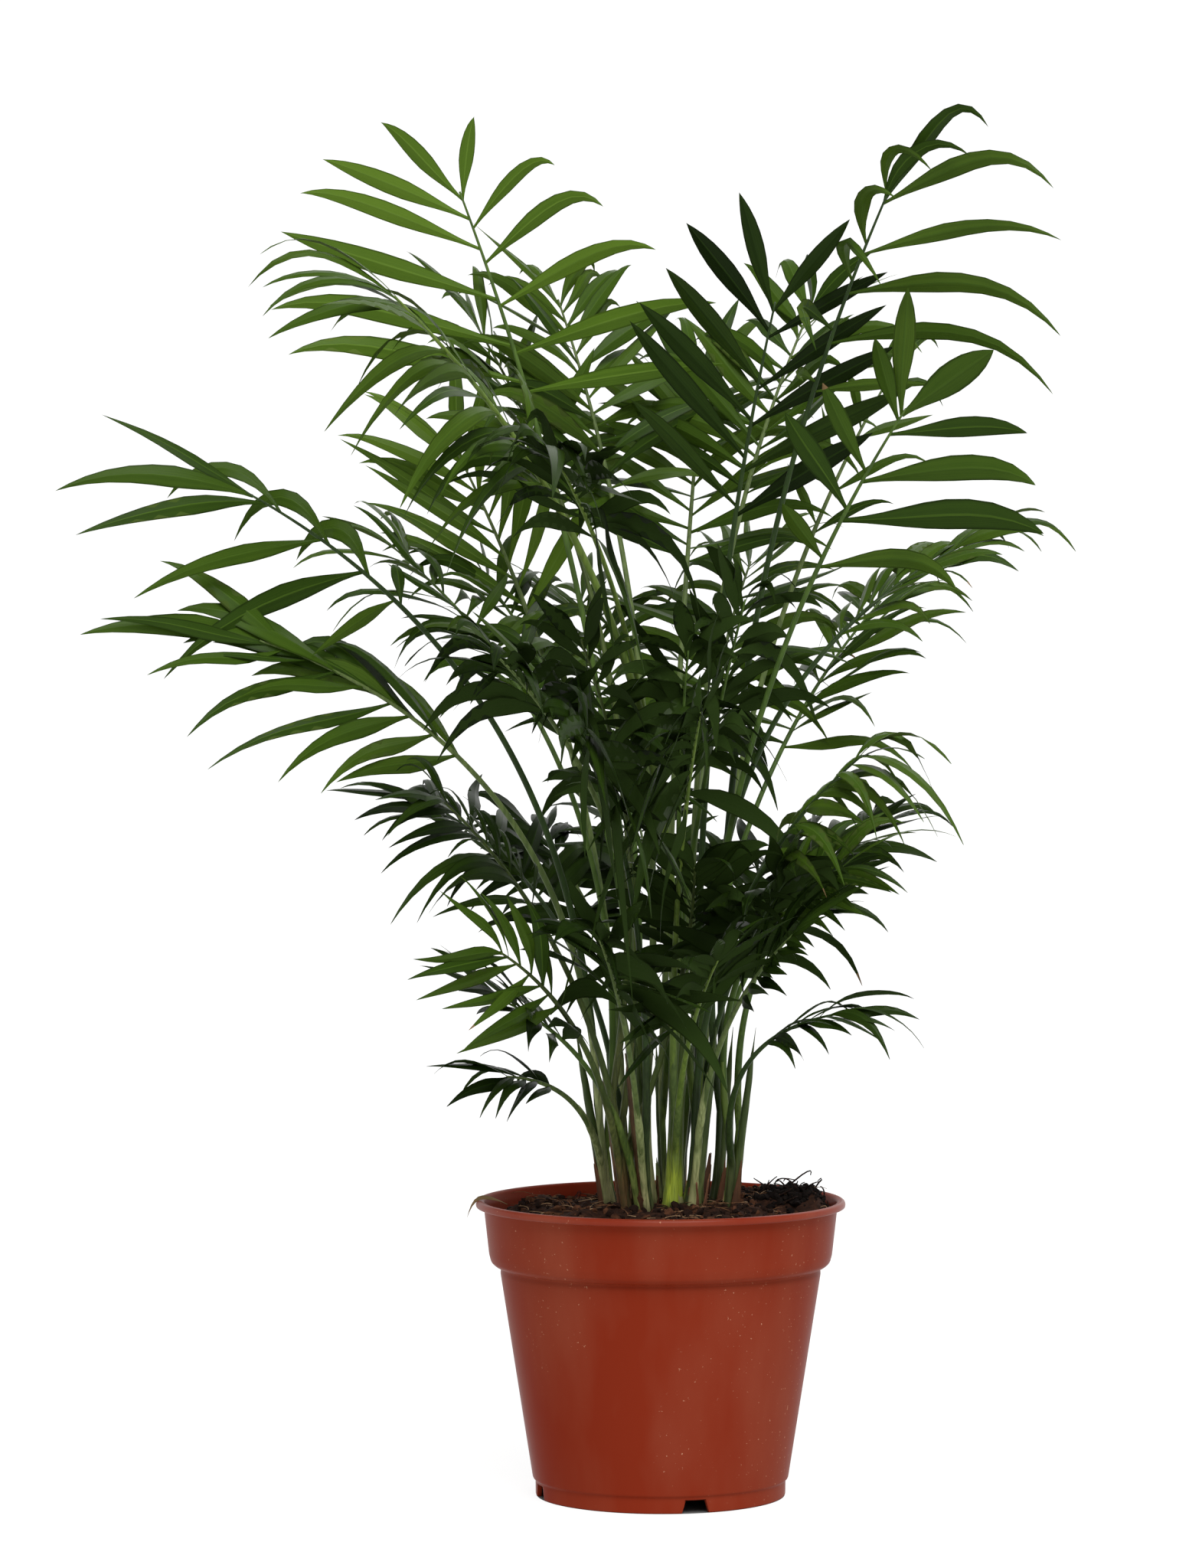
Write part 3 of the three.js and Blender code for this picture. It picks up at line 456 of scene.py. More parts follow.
# The rest of the crown in tiers: angles in degrees round +Z from +X, reach from the clump's middle
tierPlan = {
    "clumpMiddle": (0.004, 0.006),
    "neckReach": 0.52,
    "turns": [0, 6, -6, 12, -12, 18, -18, 24, -24, 30, -30],  # degrees a frond may turn to find room
    "canes": 7,
    "steps": [0, -0.14, 0.12, -0.28, -0.42],  # how far along its cane its foot may move, as a share
    "samples": 120,
    "apart": 0.0043,  # least distance between the middles of two ribs
    "angleChance": 0.22,
    "reachChance": 0.14,
    "heightChance": 0.05,
    "seed": 26,
    "rows": [
        dict(name="back_low", count=5, start=22, end=170, height=0.3, reach=0.122, blade=0.046,
             pairs=11, leaf=0.06, tipLeaf=0.76, droop=0.24, tone="dark", wild=2, hook=0.15, wide=1.3),
        dict(name="lower_inner", count=2, start=262, end=318, height=0.286, reach=0.074, blade=0.05,
             pairs=14, leaf=0.056, tipLeaf=0.8, droop=0.35, tone="dark", wild=2.2, hook=0.15, wide=1.4),
        dict(name="back_middle", count=5, start=40, end=172, height=0.428, reach=0.146, blade=0.07,
             pairs=13, leaf=0.07, tipLeaf=0.8, droop=0.26, tone="mid", wild=1.8, hook=0.15, wide=0.96),
        dict(name="inner", count=3, start=205, end=330, height=0.4, reach=0.066, blade=0.074,
             pairs=13, leaf=0.056, tipLeaf=0.7, droop=0.4, tone="dark", wild=2.4, hook=0.15, wide=1.3),
        dict(name="back_tall", count=4, start=40, end=168, height=0.54, reach=0.112, blade=0.092,
             pairs=13, leaf=0.084, tipLeaf=0.66, droop=0.2, tone="mid", wild=1.6, hook=0.15, wide=1.04),
    ],
}

ribPlan = {"solidFoot": 0.0015}  # radius of the solids' stalks at the foot, where they clear the cane


def caneRadius(cane, share):
    taper = 1 - (1 - canePlan["topShare"]) * share
    flare = 1 + (canePlan["flareWidth"] - 1) * np.maximum(0, 1 - share / canePlan["flareHeight"])
    return cane["width"] / 2 * taper * flare


# a quadratic curve from start through neck to tip; share is how far along it neck lies
def frondPath(start, neck, tip):
    stalk = np.linalg.norm(neck - start)
    share = stalk / (stalk + np.linalg.norm(tip - neck))
    bend = (neck - (1 - share) ** 2 * start - share ** 2 * tip) / (2 * share * (1 - share))
    return {"start": start, "bend": bend, "tip": tip, "share": share}


# (1-t)^2 start + 2t(1-t) bend + t^2 tip, for every t given
def pathPoint(path, t):
    t = np.asarray(t)[..., None]
    return (1 - t) ** 2 * path["start"] + 2 * t * (1 - t) * path["bend"] + t ** 2 * path["tip"]


def pathLean(path, t):
    t = np.asarray(t)[..., None]
    return unit((1 - t) * (path["bend"] - path["start"]) + t * (path["tip"] - path["bend"]))


# the frond leaves its cane on the side that its stalk first leans to
def rootedPath(cane, level, neck, tip):
    middle = lerp(cane["start"], cane["end"], level)
    bend = frondPath(middle, neck, tip)["bend"]
    side = unit(bend - middle) - cane["lean"]
    side[2] = 0
    off = caneRadius(cane, level) + ribPlan["solidFoot"] + canePlan["clearance"]
    return frondPath(middle + unit(side) * off, neck, tip)


def placeFrond(row, cane, step=0):
    height = np.clip(row["tip"][2], canePlan["lowestTip"], canePlan["highestTip"])
    rise = (height - canePlan["lowestTip"]) / (canePlan["highestTip"] - canePlan["lowestTip"])
    level = min(lerp(canePlan["lowest"], canePlan["highest"], rise) + step, canePlan["highest"])
    path = rootedPath(cane, level, np.array(row["neck"]), np.array(row["tip"]))
    middles = pathPoint(path, np.linspace(0, 1, tierPlan["samples"] + 1))
    return {**row, "cane": cane, "level": level, "path": path, "middles": middles}


def isClear(frond, placed, canes):
    def keepsOff(spots, radius):
        gaps = np.linalg.norm(frond["middles"][:, None] - spots[None], axis=-1)
        return gaps.min() > radius

    standing = [cane for cane in canes if cane is not frond["cane"]]
    return all(keepsOff(other["middles"], tierPlan["apart"]) for other in placed) and all(
        keepsOff(cane["middles"], tierPlan["apart"] + cane["width"] / 4) for cane in standing)


# a frond of a tier at its drawn place, or turned a little where it would touch another
def tierFrond(row, name, degrees, reach, height, placed, canes):
    middle = tierPlan["clumpMiddle"]
    for turn in tierPlan["turns"]:
        angle = math.radians(degrees + turn)
        outward = np.array([math.cos(angle), math.sin(angle)])

        def out(distance, z):
            return (middle[0] + distance * outward[0], middle[1] + distance * outward[1], z)

        grown = {**row, "name": name, "neck": out(reach * tierPlan["neckReach"], height - row["blade"]),
                 "tip": out(reach, height), "face": sky}

        def score(cane):
            crowd = sum(frond["cane"] is cane for frond in placed)
            return (np.array(cane["foot"]) - middle) @ outward - canePlan["crowding"] * crowd

        for cane in sorted(canes, key=lambda cane: -score(cane))[:tierPlan["canes"]]:
            for step in tierPlan["steps"]:
                frond = placeFrond(grown, cane, step)
                if isClear(frond, placed, canes):
                    return frond
    raise ValueError(f"no room for {name}")


def growPlan():
    canes = {}
    for name, (foot, top, width) in canePlan["rows"].items():
        start = np.array([*foot, canePlan["soilTop"] + canePlan["clearance"]])
        end = np.array(top)
        shares = np.linspace(0, 1, canePlan["samples"] + 1)[:, None]
        canes[name] = {"name": "cane_" + name, "foot": foot, "width": width, "start": start, "end": end,
                       "lean": unit(end - start), "length": np.linalg.norm(end - start),
                       "middles": lerp(start, end, shares)}
    placed = [placeFrond(row, canes[row["cane"]]) for row in frondRows]
    canes = list(canes.values())
    draw = makeDraw(tierPlan["seed"])
    for row in tierPlan["rows"]:
        spread = (row["end"] - row["start"]) / row["count"]
        for i in range(row["count"]):
            degrees = row["start"] + spread * (i + 0.5 + tierPlan["angleChance"] * draw())
            reach = row["reach"] * (1 + tierPlan["reachChance"] * draw())
            height = row["height"] * (1 + tierPlan["heightChance"] * draw())
            name = f"frond_{row['name']}_{i + 1}"
            placed.append(tierFrond(row, name, degrees, reach, height, placed, canes))
    return canes, placed


canes, fronds = growPlan()
print("plan:", len(canes), "canes,", len(fronds), "fronds")


# Camera, floor and light

viewPlan = {"place": (-0.0274, -2.416, 0.4), "tiltDown": 1.73, "lens": 120.9, "sensor": 36.0}
# the floor glows by itself, so that the shadow on it stays faint, but not under the pot
stagePlan = {"flat": 3.4, "blend": 1.2, "slope": 45, "rim": 7.0, "rings": 24, "sides": 96, "near": 0.4,
             "under": 0.0573,
             "colour": paint(98, 98, 97), "second": paint(94, 94, 93), "glow": 0.86}
lightPlan = {
    "sky": (1.0, 1.0, 1.0),
    "skyStrength": 0.19,
    "suns": [
        dict(name="keySun", come=(0.2, -0.8, 1.05), spread=40, power=3.25),
        dict(name="fillSun", come=(0.9, -0.5, 0.5), spread=50, power=0.15),
        dict(name="topSun", come=(-0.2, 0.1, 1.0), spread=50, power=0.8),
        dict(name="backSun", come=(0.3, 0.8, 0.6), spread=50, power=0.75),
    ],
}


def addCamera():
    camera = bpy.data.objects.new("camera", bpy.data.cameras.new("camera"))
    camera.data.lens = viewPlan["lens"]
    camera.data.sensor_width = viewPlan["sensor"]
    camera.location = viewPlan["place"]
    camera.rotation_euler = (math.radians(90 - viewPlan["tiltDown"]), 0, 0)
    bpy.context.collection.objects.link(camera)
    bpy.context.scene.camera = camera


# floor: flat to a radius, then bending up into a slope, so that every view ends on the same pale ground
def addFloor():
    g = stagePlan
    steepest = math.radians(g["slope"])
    turn = np.linspace(steepest, 0, g["rings"])
    radius = np.concatenate([[g["rim"]], g["flat"] + g["blend"] * np.sin(turn), [g["near"], g["under"]]])
    bent = g["blend"] * (1 - np.cos(turn))
    height = np.concatenate([[bent[0] + (g["rim"] - radius[1]) * math.tan(steepest)], bent, [0.0, 0.0]])
    angle = roundSteps(g["sides"])
    rings = turned(radius[:, None], angle, height[:, None]).reshape(-1, 3)
    last = (len(radius) - 1) * len(angle) + np.arange(len(angle))
    fan = np.stack([np.full(len(angle), len(rings)), last, np.roll(last, -1)], -1)
    faces = gridFaces(len(radius), len(angle)).tolist() + fan.tolist()
    colours = {"Colour": g["colour"], "Second": g["second"], "Scale": 2.0, "Amount": 0.5}
    white = paint(255, 255, 255)
    finishes = [newFinish(name, mottle, colours, 0.9, Emission_Color=white, Emission_Strength=glow)
                for name, glow in (("floorPaint", g["glow"]), ("underPaint", 0.0))]
    for finish in finishes:
        finish.cycles.emission_sampling = "NONE"
    isUnder = np.arange(len(faces)) >= len(faces) - len(angle)
    floor = newSurface("floor", np.concatenate([rings, np.zeros((1, 3))]), faces, finishes, isUnder)


def addLights():
    world = bpy.data.worlds.new("studio")
    world.use_nodes = True
    background = world.node_tree.nodes["Background"]
    background.inputs["Color"].default_value = (*lightPlan["sky"], 1)
    background.inputs["Strength"].default_value = lightPlan["skyStrength"]
    bpy.context.scene.world = world
    for row in lightPlan["suns"]:
        sun = bpy.data.lights.new(row["name"], "SUN")
        sun.angle = math.radians(row["spread"])
        sun.energy = row["power"]
        holder = bpy.data.objects.new(row["name"], sun)
        holder.rotation_euler = Vector(row["come"]).to_track_quat("Z", "Y").to_euler()
        bpy.context.collection.objects.link(holder)


bpy.context.scene.view_settings.view_transform = "Standard"
addCamera()
addFloor()
addLights()
print("camera, floor and lights are up")


# Pot

potPlan = {
    "height": 0.136,
    "lip": 0.085,
    "collarTop": 0.0815,
    "collarFoot": 0.0789,
    "collarHeight": 0.1064,
    "bodyTop": 0.0738,
    "bodyFoot": 0.0588,
    "bodyFootHeight": 0.008,
    "foot": 0.0575,
    "wall": 0.0016,
    "floor": 0.007,
    "underside": 0.0054,
    "boss": 0.012,
    "sides": 288,
    "notchAngles": [-74.5, 15.5, 105.5, 195.5],
    "notchHeight": 0.0066,
    "notchWide": 0.0064,  # half the notch at the ground, and at its top
    "notchNarrow": 0.0046,
    "drainAngles": [-29.5, 60.5, 150.5, 240.5],
    "drainRadius": 0.004,
    "drainRing": 0.042,
    "drainSides": 24,
    "colour": paint(115, 37, 19),
    # the pale colour of the dust specks, also laid on in faint upright streaks as a painted sheen
    "dustAndSheen": paint(186, 140, 112),
    "gloss": {"potPlastic": 0.015, "lipPlastic": 0.1},
}


# a line of corners with each one rounded: a quadratic curve from a little before it to a little after
def roundedLine(points, radius, steps=4):
    points = np.array(points, float)
    out = [points[0]]
    for before, here, after in zip(points, points[1:], points[2:]):
        reach = [min(radius, 0.45 * np.linalg.norm(end - here)) for end in (before, after)]
        first = here + unit(before - here) * reach[0]
        last = here + unit(after - here) * reach[1]
        t = np.linspace(0, 1, steps)[:, None]
        out.extend((1 - t) ** 2 * first + 2 * t * (1 - t) * here + t ** 2 * last)
    out.append(points[-1])
    return np.array(out)


def potProfile():
    p = potPlan
    lip, top, step = p["lip"], p["height"], p["collarHeight"]
    return roundedLine([
        (0.0001, 0), (p["boss"], 0), (p["boss"] + 0.0006, p["underside"]),
        (p["foot"] - 0.0025, p["underside"]), (p["foot"] - 0.0021, 0),
        (p["foot"], 0), (p["foot"] + 0.0001, p["bodyFootHeight"] - 0.0008),
        (p["bodyFoot"], p["bodyFootHeight"]), (p["bodyTop"] - 0.0001, step - 0.004),
        (p["bodyTop"] - 0.0006, step - 0.0012), (p["bodyTop"] + 0.0022, step - 0.0006),
        (p["collarFoot"] - 0.0009, step + 0.0012), (p["collarFoot"], step + 0.0046),
        (p["collarTop"] - 0.0002, top - 0.0036), (lip - 0.0006, top - 0.0034), (lip, top - 0.0029),
        (lip, top - 0.0012), (lip - 0.0009, top - 0.0002), (lip - 0.0022, top),
        (lip - 0.0038, top - 0.0006), (p["collarTop"] - p["wall"], top - 0.0042),
        (p["collarFoot"] - p["wall"], step + 0.0042), (p["bodyTop"] - p["wall"], step + 0.0006),
        (p["bodyFoot"] - p["wall"], p["floor"] + 0.0006), (0.0001, p["floor"]),
    ], 0.0009)


# pot: the profile turned round +Z; near a notch no corner of the foot lies lower than the notch's roof
def addPot():
    p = potPlan
    profile = potProfile()
    even = np.arange(p["sides"]) * 360 / p["sides"]
    halves = [p["notchWide"], p["notchNarrow"], p["notchWide"] + 0.0002, p["notchNarrow"] - 0.0002]
    edges = [angle + side * math.degrees(half / p["foot"])
             for angle in p["notchAngles"] for side in (-1, 1) for half in halves]
    degrees = np.unique(np.round(np.concatenate([even, np.array(edges) % 360]), 3))
    angle = np.radians(degrees)
    away = np.abs((degrees[:, None] - np.array(p["notchAngles"]) + 180) % 360 - 180).min(axis=1)
    arc = np.radians(away) * p["foot"]
    roof = np.interp(arc, [p["notchNarrow"], p["notchWide"]], [p["notchHeight"], 0])
    radius, height = profile[:, :1], profile[:, 1:]
    isRing = (radius > p["foot"] - 0.004) & (height < p["underside"])
    z = np.where(isRing, np.maximum(height, roof), height)
    rings = turned(radius, angle, z)
    corners, faces = closedTubes(rings[None], np.array([[0, 0, 0.0]]), np.array([[0, 0, p["floor"]]]))
    colours = {"Colour": p["colour"], "Dust": p["dustAndSheen"], "Roughness": 0.3, "Amount": 0.5}
    finishes = [newFinish(name, dustAndSheen, colours, 0.3, Specular_IOR_Level=gloss)
                for name, gloss in p["gloss"].items()]
    isLip = (profile[1:, 0] > p["collarTop"] + 0.0016) & (profile[1:, 1] > p["height"] - 0.0034)
    slots = np.concatenate([np.repeat(isLip, len(angle)), np.zeros(2 * len(angle), bool)])
    pot = addPiece("palmPot", corners, faces, finishes, slots=slots, sharp=50)
    drillDrains(pot)
    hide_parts("pot")


# four straight holes through the floor, cut for good so that the piece keeps no modifier
def drillDrains(pot):
    p = potPlan
    for degrees in p["drainAngles"]:
        centre = turned(p["drainRing"], math.radians(degrees), 0)
        line = centre + np.linspace(p["underside"] - 0.003, p["floor"] + 0.003, 2)[:, None] * [0, 0, 1]
        radii = np.full((1, 2), p["drainRadius"])
        rings = ringsAlong(line[None], radii, p["drainSides"], np.array([1.0, 0, 0]))
        drill = newMesh("drill", *closedTubes(rings, line[None, 0], line[None, -1]))
        cut = pot.modifiers.new("drain", "BOOLEAN")
        cut.object = drill
        cut.solver = "EXACT"
        bpy.context.view_layer.update()
        cutMesh = bpy.data.meshes.new_from_object(pot.evaluated_get(bpy.context.evaluated_depsgraph_get()))
        pot.modifiers.clear()
        pot.data = cutMesh
        bpy.data.objects.remove(drill)


addPot()
print("pot is moulded")


# Soil

soilPlan = {
    "floor": 0.0074,
    "middle": 0.133,
    "flat": 0.046,
    "shoulder": 0.066,
    "shoulderHeight": 0.1275,
    "edge": 0.0789,
    "edgeHeight": 0.1265,
    "rings": 96,
    "sides": 240,
    "rough": [(0.012, 0.0016), (0.005, 0.0011), (0.0022, 0.0007)],  # size of a clod and how far it stands
    "smoothFrom": 0.07,  # from here to the wall the clods get lower
    "smoothOver": 0.008,
    "lumps": [
        dict(at=(0.063, 0.019), size=(0.014, 0.013), rise=0.0102),
        dict(at=(0.047, 0.033), size=(0.011, 0.009), rise=0.0075),
        dict(at=(0.07, 0.004), size=(0.008, 0.012), rise=0.007),
        dict(at=(-0.057, 0.016), size=(0.01, 0.009), rise=0.0065),
        dict(at=(-0.038, -0.044), size=(0.011, 0.008), rise=0.0045),
        dict(at=(0.014, -0.061), size=(0.012, 0.007), rise=0.0035),
    ],
    "seed": 11,
    # each colour and the one it is mottled with
    "colours": {
        "peat": ((54, 33, 23), (24, 14, 10)),
        "darkPeat": ((38, 23, 16), (20, 12, 9)),
        "brownPeat": ((86, 54, 36), (46, 28, 19)),
        "blackPeat": ((24, 17, 14), (12, 9, 8)),
        "paleFibre": ((176, 144, 110), (112, 84, 60)),
        "darkFibre": ((36, 22, 16), (20, 12, 9)),
        "brownFibre": ((118, 82, 56), (72, 48, 32)),
    },
}


# height of the soil: level in the middle, falling to the wall, with lumps as e^-(distance^2) and clods
def soilHeight(x, y):
    s = soilPlan
    radius = np.hypot(x, y)
    level = np.interp(radius, [0, s["flat"], s["shoulder"], s["edge"]],
                      [s["middle"], s["middle"], s["shoulderHeight"], s["edgeHeight"]])
    for lump in s["lumps"]:
        away = ((x - lump["at"][0]) / lump["size"][0]) ** 2 + ((y - lump["at"][1]) / lump["size"][1]) ** 2
        level = level + lump["rise"] * np.exp(-away)
    flat = np.stack([x, y, 0 * x], -1)
    near = 1 - 0.6 * ease((radius - s["smoothFrom"]) / s["smoothOver"])
    for number, (size, stand) in enumerate(s["rough"]):
        level = level + near * stand * softNoise(flat, size, s["seed"] + number)
    return level


def soilFinishes(*names):
    finishes = []
    for name in names:
        colour, second = soilPlan["colours"][name]
        given = {"Colour": paint(*colour), "Second": paint(*second), "Scale": 420.0, "Amount": 0.9}
        finishes.append(newFinish(name, mottle, given, 0.92, bump=0.7, depth=0.0008, Specular_IOR_Level=0.1))
    return finishes


def addSoil():
    s, p = soilPlan, potPlan
    angle = roundSteps(s["sides"])
    radius = s["edge"] * np.linspace(1, 0, s["rings"] + 1)[:-1, None] ** 0.8
    x, y = radius * np.cos(angle), radius * np.sin(angle)
    top = np.stack([x, y, soilHeight(x, y)], -1)
    inside = p["bodyFoot"] - p["wall"] - 0.0006, p["bodyTop"] - p["wall"] - 0.0004
    wall = np.array([(inside[0] - 0.0002, s["floor"]), (inside[0], s["floor"] + 0.0006),
                     (inside[1], p["collarHeight"] - 0.0008),
                     (p["collarFoot"] - p["wall"] - 0.0004, p["collarHeight"] + 0.0008)])
    rings = np.concatenate([turned(wall[:, :1], angle, wall[:, 1:]), top])[None]
    peak = soilHeight(np.zeros(1), np.zeros(1))[0]
    corners, faces = closedTubes(rings, np.array([[0, 0, s["floor"]]]), np.array([[0, 0, peak]]))
    soil = addPiece("pottingSoil", corners, faces, soilFinishes("peat"))
    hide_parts("soil")


# corners and faces of a ball of twenty triangles
def icosahedron():
    g = (1 + 5 ** 0.5) / 2
    corners = unit(np.array([(-1, g, 0), (1, g, 0), (-1, -g, 0), (1, -g, 0), (0, -1, g), (0, 1, g),
                             (0, -1, -g), (0, 1, -g), (g, 0, -1), (g, 0, 1), (-g, 0, -1), (-g, 0, 1)]))
    faces = np.array([(0, 11, 5), (0, 5, 1), (0, 1, 7), (0, 7, 10), (0, 10, 11), (1, 5, 9), (5, 11, 4),
                      (11, 10, 2), (10, 7, 6), (7, 1, 8), (3, 9, 4), (3, 4, 2), (3, 2, 6), (3, 6, 8),
                      (3, 8, 9), (4, 9, 5), (2, 4, 11), (6, 2, 10), (8, 6, 7), (9, 8, 1)])
    return corners, faces


crumbPlan = {
    "count": 900,
    "reach": 0.97,  # how far out they lie, as a share of the soil's radius
    "inside": 0.985,
    "heap": 420,  # how many more lie in the heap at the rim
    "heapAt": (0.06, 0.018),
    "heapSpread": (0.011, 0.008),
    "heapRadius": 0.021,  # within it all are black
    "size": 0.0007,
    "sizeMore": 0.0019,  # times chance ^ uneven, so most are small
    "uneven": 2.2,
    "stretch": (0.6, 1.35),
    "dents": (0.75, 1.2),
    "proud": 0.25,  # how far its middle lies above the soil, in sizes
    "seed": 31,
}


# crumbs: small uneven balls, turned and stretched by chance, half sunk in the soil
def addCrumbs():
    c = crumbPlan
    rng = np.random.default_rng(c["seed"])
    spread = soilPlan["edge"] * c["reach"] * np.sqrt(rng.uniform(0, 1, c["count"]))
    turn = rng.uniform(0, 2 * math.pi, c["count"])
    heap = rng.normal(0, 1, (c["heap"], 2)) * c["heapSpread"] + c["heapAt"]
    x = np.concatenate([spread * np.cos(turn), heap[:, 0]])
    y = np.concatenate([spread * np.sin(turn), heap[:, 1]])
    inPot = np.hypot(x, y) < soilPlan["edge"] * c["inside"]
    x, y = x[inPot], y[inPot]
    count = len(x)
    size = c["size"] + c["sizeMore"] * rng.uniform(0, 1, count) ** c["uneven"]
    ball, faces = icosahedron()
    stretch = rng.uniform(*c["stretch"], (count, 1, 3))
    dents = rng.uniform(*c["dents"], (count, len(ball), 1))
    turns = np.linalg.qr(rng.normal(0, 1, (count, 3, 3)))[0]
    turns *= np.sign(np.linalg.det(turns))[:, None, None]
    shapes = np.einsum("nij,nkj->nki", turns, ball[None] * dents * stretch)
    place = np.stack([x, y, soilHeight(x, y) + c["proud"] * size], -1)
    corners = place[:, None] + size[:, None, None] * shapes
    isHeap = np.hypot(x - c["heapAt"][0], y - c["heapAt"][1]) < c["heapRadius"]
    shade = np.where(isHeap, 2, rng.choice([0, 0, 1], count))
    finishes = soilFinishes("darkPeat", "brownPeat", "blackPeat")
    piece = addPiece("peatCrumbs", corners, repeatFaces(faces, count, len(ball)).tolist(), finishes,
                     np.repeat(shade, len(faces)), sharp=40)


fibrePlan = {
    "count": 640,
    "reach": 0.93,
    "furthest": 0.0775,  # none lies further out than this
    "above": 0.0003,
    "length": (0.003, 0.014),
    "rise": (0.0, 0.22),
    "bow": 0.5,
    "radius": (0.00022, 0.0001),
    "rings": 7,
    # some stand up out of the heap at the rim as roots, and are more bowed and thicker
    "roots": 20,
    "rootsAt": (0.062, 0.016),
    "rootsSpread": 0.007,
    "rootRise": (0.3, 0.9),
    "rootBow": 2.4,
    "rootThick": 2.6,
    "seed": 51,
}


# fibres: short bent threads; point = start + along * s + bow * s(1-s), three-sided
def addFibres():
    f = fibrePlan
    rng = np.random.default_rng(f["seed"])
    count = f["count"]
    spread = soilPlan["edge"] * f["reach"] * np.sqrt(rng.uniform(0, 1, count))
    turn = rng.uniform(0, 2 * math.pi, count)
    x, y = spread * np.cos(turn), spread * np.sin(turn)
    isRoot = np.arange(count) < f["roots"]
    x[isRoot] = f["rootsAt"][0] + rng.normal(0, f["rootsSpread"], f["roots"])
    y[isRoot] = f["rootsAt"][1] + rng.normal(0, f["rootsSpread"], f["roots"])
    start = np.stack([x, y, soilHeight(x, y) + f["above"]], -1)
    way = rng.uniform(0, 2 * math.pi, count)
    length = rng.uniform(*f["length"], count)
    rise = np.where(isRoot, rng.uniform(*f["rootRise"], count), rng.uniform(*f["rise"], count))
    along = np.stack([np.cos(way), np.sin(way), rise], -1) * length[:, None]
    bow = rng.normal(0, f["bow"], (count, 3)) * (length * np.where(isRoot, f["rootBow"], 1))[:, None]
    bow[:, 2] = np.abs(bow[:, 2]) * 0.6
    t = np.linspace(0, 1, f["rings"])[None, :, None]
    lines = start[:, None] + along[:, None] * t + bow[:, None] * t * (1 - t)
    reach = np.hypot(lines[..., 0], lines[..., 1])
    lines[..., :2] *= (np.minimum(reach, f["furthest"]) / np.maximum(reach, 1e-6))[..., None]
    radii = np.linspace(*f["radius"], f["rings"]) * np.where(isRoot, f["rootThick"], 1)[:, None]
    rings = ringsAlong(lines, radii, 3, np.array([0.3, 0.2, 0.93]))
    corners, faces = closedTubes(rings, lines[:, 0], lines[:, -1])
    shade = np.where(isRoot, 1, rng.choice([0, 2, 2, 1], count))
    piece = addPiece("peatFibres", corners, faces, soilFinishes("paleFibre", "darkFibre", "brownFibre"),
                     tubeSlots(shade, f["rings"], 3))


addSoil()
addCrumbs()
addFibres()
print("soil is in the pot")


# Canes, and the sheaths that wrap them and run out into the stalks

# finishes from rows with a body and a second colour, and what each has otherwise than most stems
def stemFinishes(kind, rows, scale=800.0):
    finishes = []
    for name, row in rows.items():
        own = {"foot": row["body"], "earth": (44, 30, 22), "high": 0.165, "roughness": 0.46, **row}
        given = {"Colour": paint(*own["body"]), "Second": paint(*own["second"]), "Foot": paint(*own["foot"]),
                 "Earth": paint(*own["earth"]), "High": own["high"], "Scale": scale, "Amount": 0.7}
        finishes.append(newFinish(kind + name, fibres, given, own["roughness"], bump=0.4,
                                  Specular_IOR_Level=0.16))
    return finishes


# rings round each of many lines, given relief by noise drawn out along Z, and closed at both ends
def roughTubes(centres, radii, sides, relief, cell, seed, drawn):
    rings = ringsAlong(centres, radii, sides, np.array([1.0, 0.0, 0.0]))
    rings += (rings - centres[:, :, None]) * relief * softNoise(rings * (1, 1, drawn), cell, seed)[..., None]
    return closedTubes(rings, centres[:, 0], centres[:, -1])


caneFinishPlan = {
    "sides": 20,
    "rings": 42,
    "slim": 0.86,  # the bare cane as a share of the whole one with its sheaths
    "sunk": 0.004,  # how far it starts below the soil
    "spear": 0.02,  # the pointed end above the cane's top
    "pointed": 0.9,  # the share of its length above which it draws to a point
    "fibreStand": 0.00018,
    "colours": {
        "Green": dict(body=(70, 86, 40), second=(42, 56, 26), foot=(104, 112, 66)),
        "Yellow": dict(body=(84, 100, 48), second=(58, 74, 32), foot=(168, 186, 62)),
        "Brown": dict(body=(92, 70, 44), second=(54, 38, 26), foot=(120, 84, 58)),
    },
    "shades": {"cane_middle_thick": 1, "cane_left_inner": 2, "cane_left_front": 2},  # the others are green
}


# cane: rings along the axis, radius * (1 + fibres), drawn to a point over its last stretch
def addCanes():
    c = caneFinishPlan
    centres, radii = [], []
    s = np.linspace(0, 1, c["rings"])
    for cane in canes:
        lean, length = cane["lean"], cane["length"]
        whole = length + c["sunk"] + c["spear"]
        centres.append(cane["start"] - lean * c["sunk"] + lean * whole * s[:, None])
        share = np.clip((s * whole - c["sunk"]) / length, 0, None)
        body = c["slim"] * caneRadius(cane, np.minimum(share, 1))
        point = 1 - 0.9 * ease((share - c["pointed"]) / (1 + c["spear"] / length - c["pointed"]))
        radii.append(body * point)
    centres, radii = np.array(centres), np.array(radii)
    relief = c["fibreStand"] / radii[..., None, None]
    corners, faces = roughTubes(centres, radii, c["sides"], relief, 0.0011, 3, 0.06)
    shade = np.array([c["shades"].get(cane["name"], 0) for cane in canes])
    piece = addPiece("palmCanes", corners, faces, stemFinishes("cane", c["colours"]),
                     tubeSlots(shade, c["rings"], c["sides"]))
    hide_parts(*[cane["name"] for cane in canes])


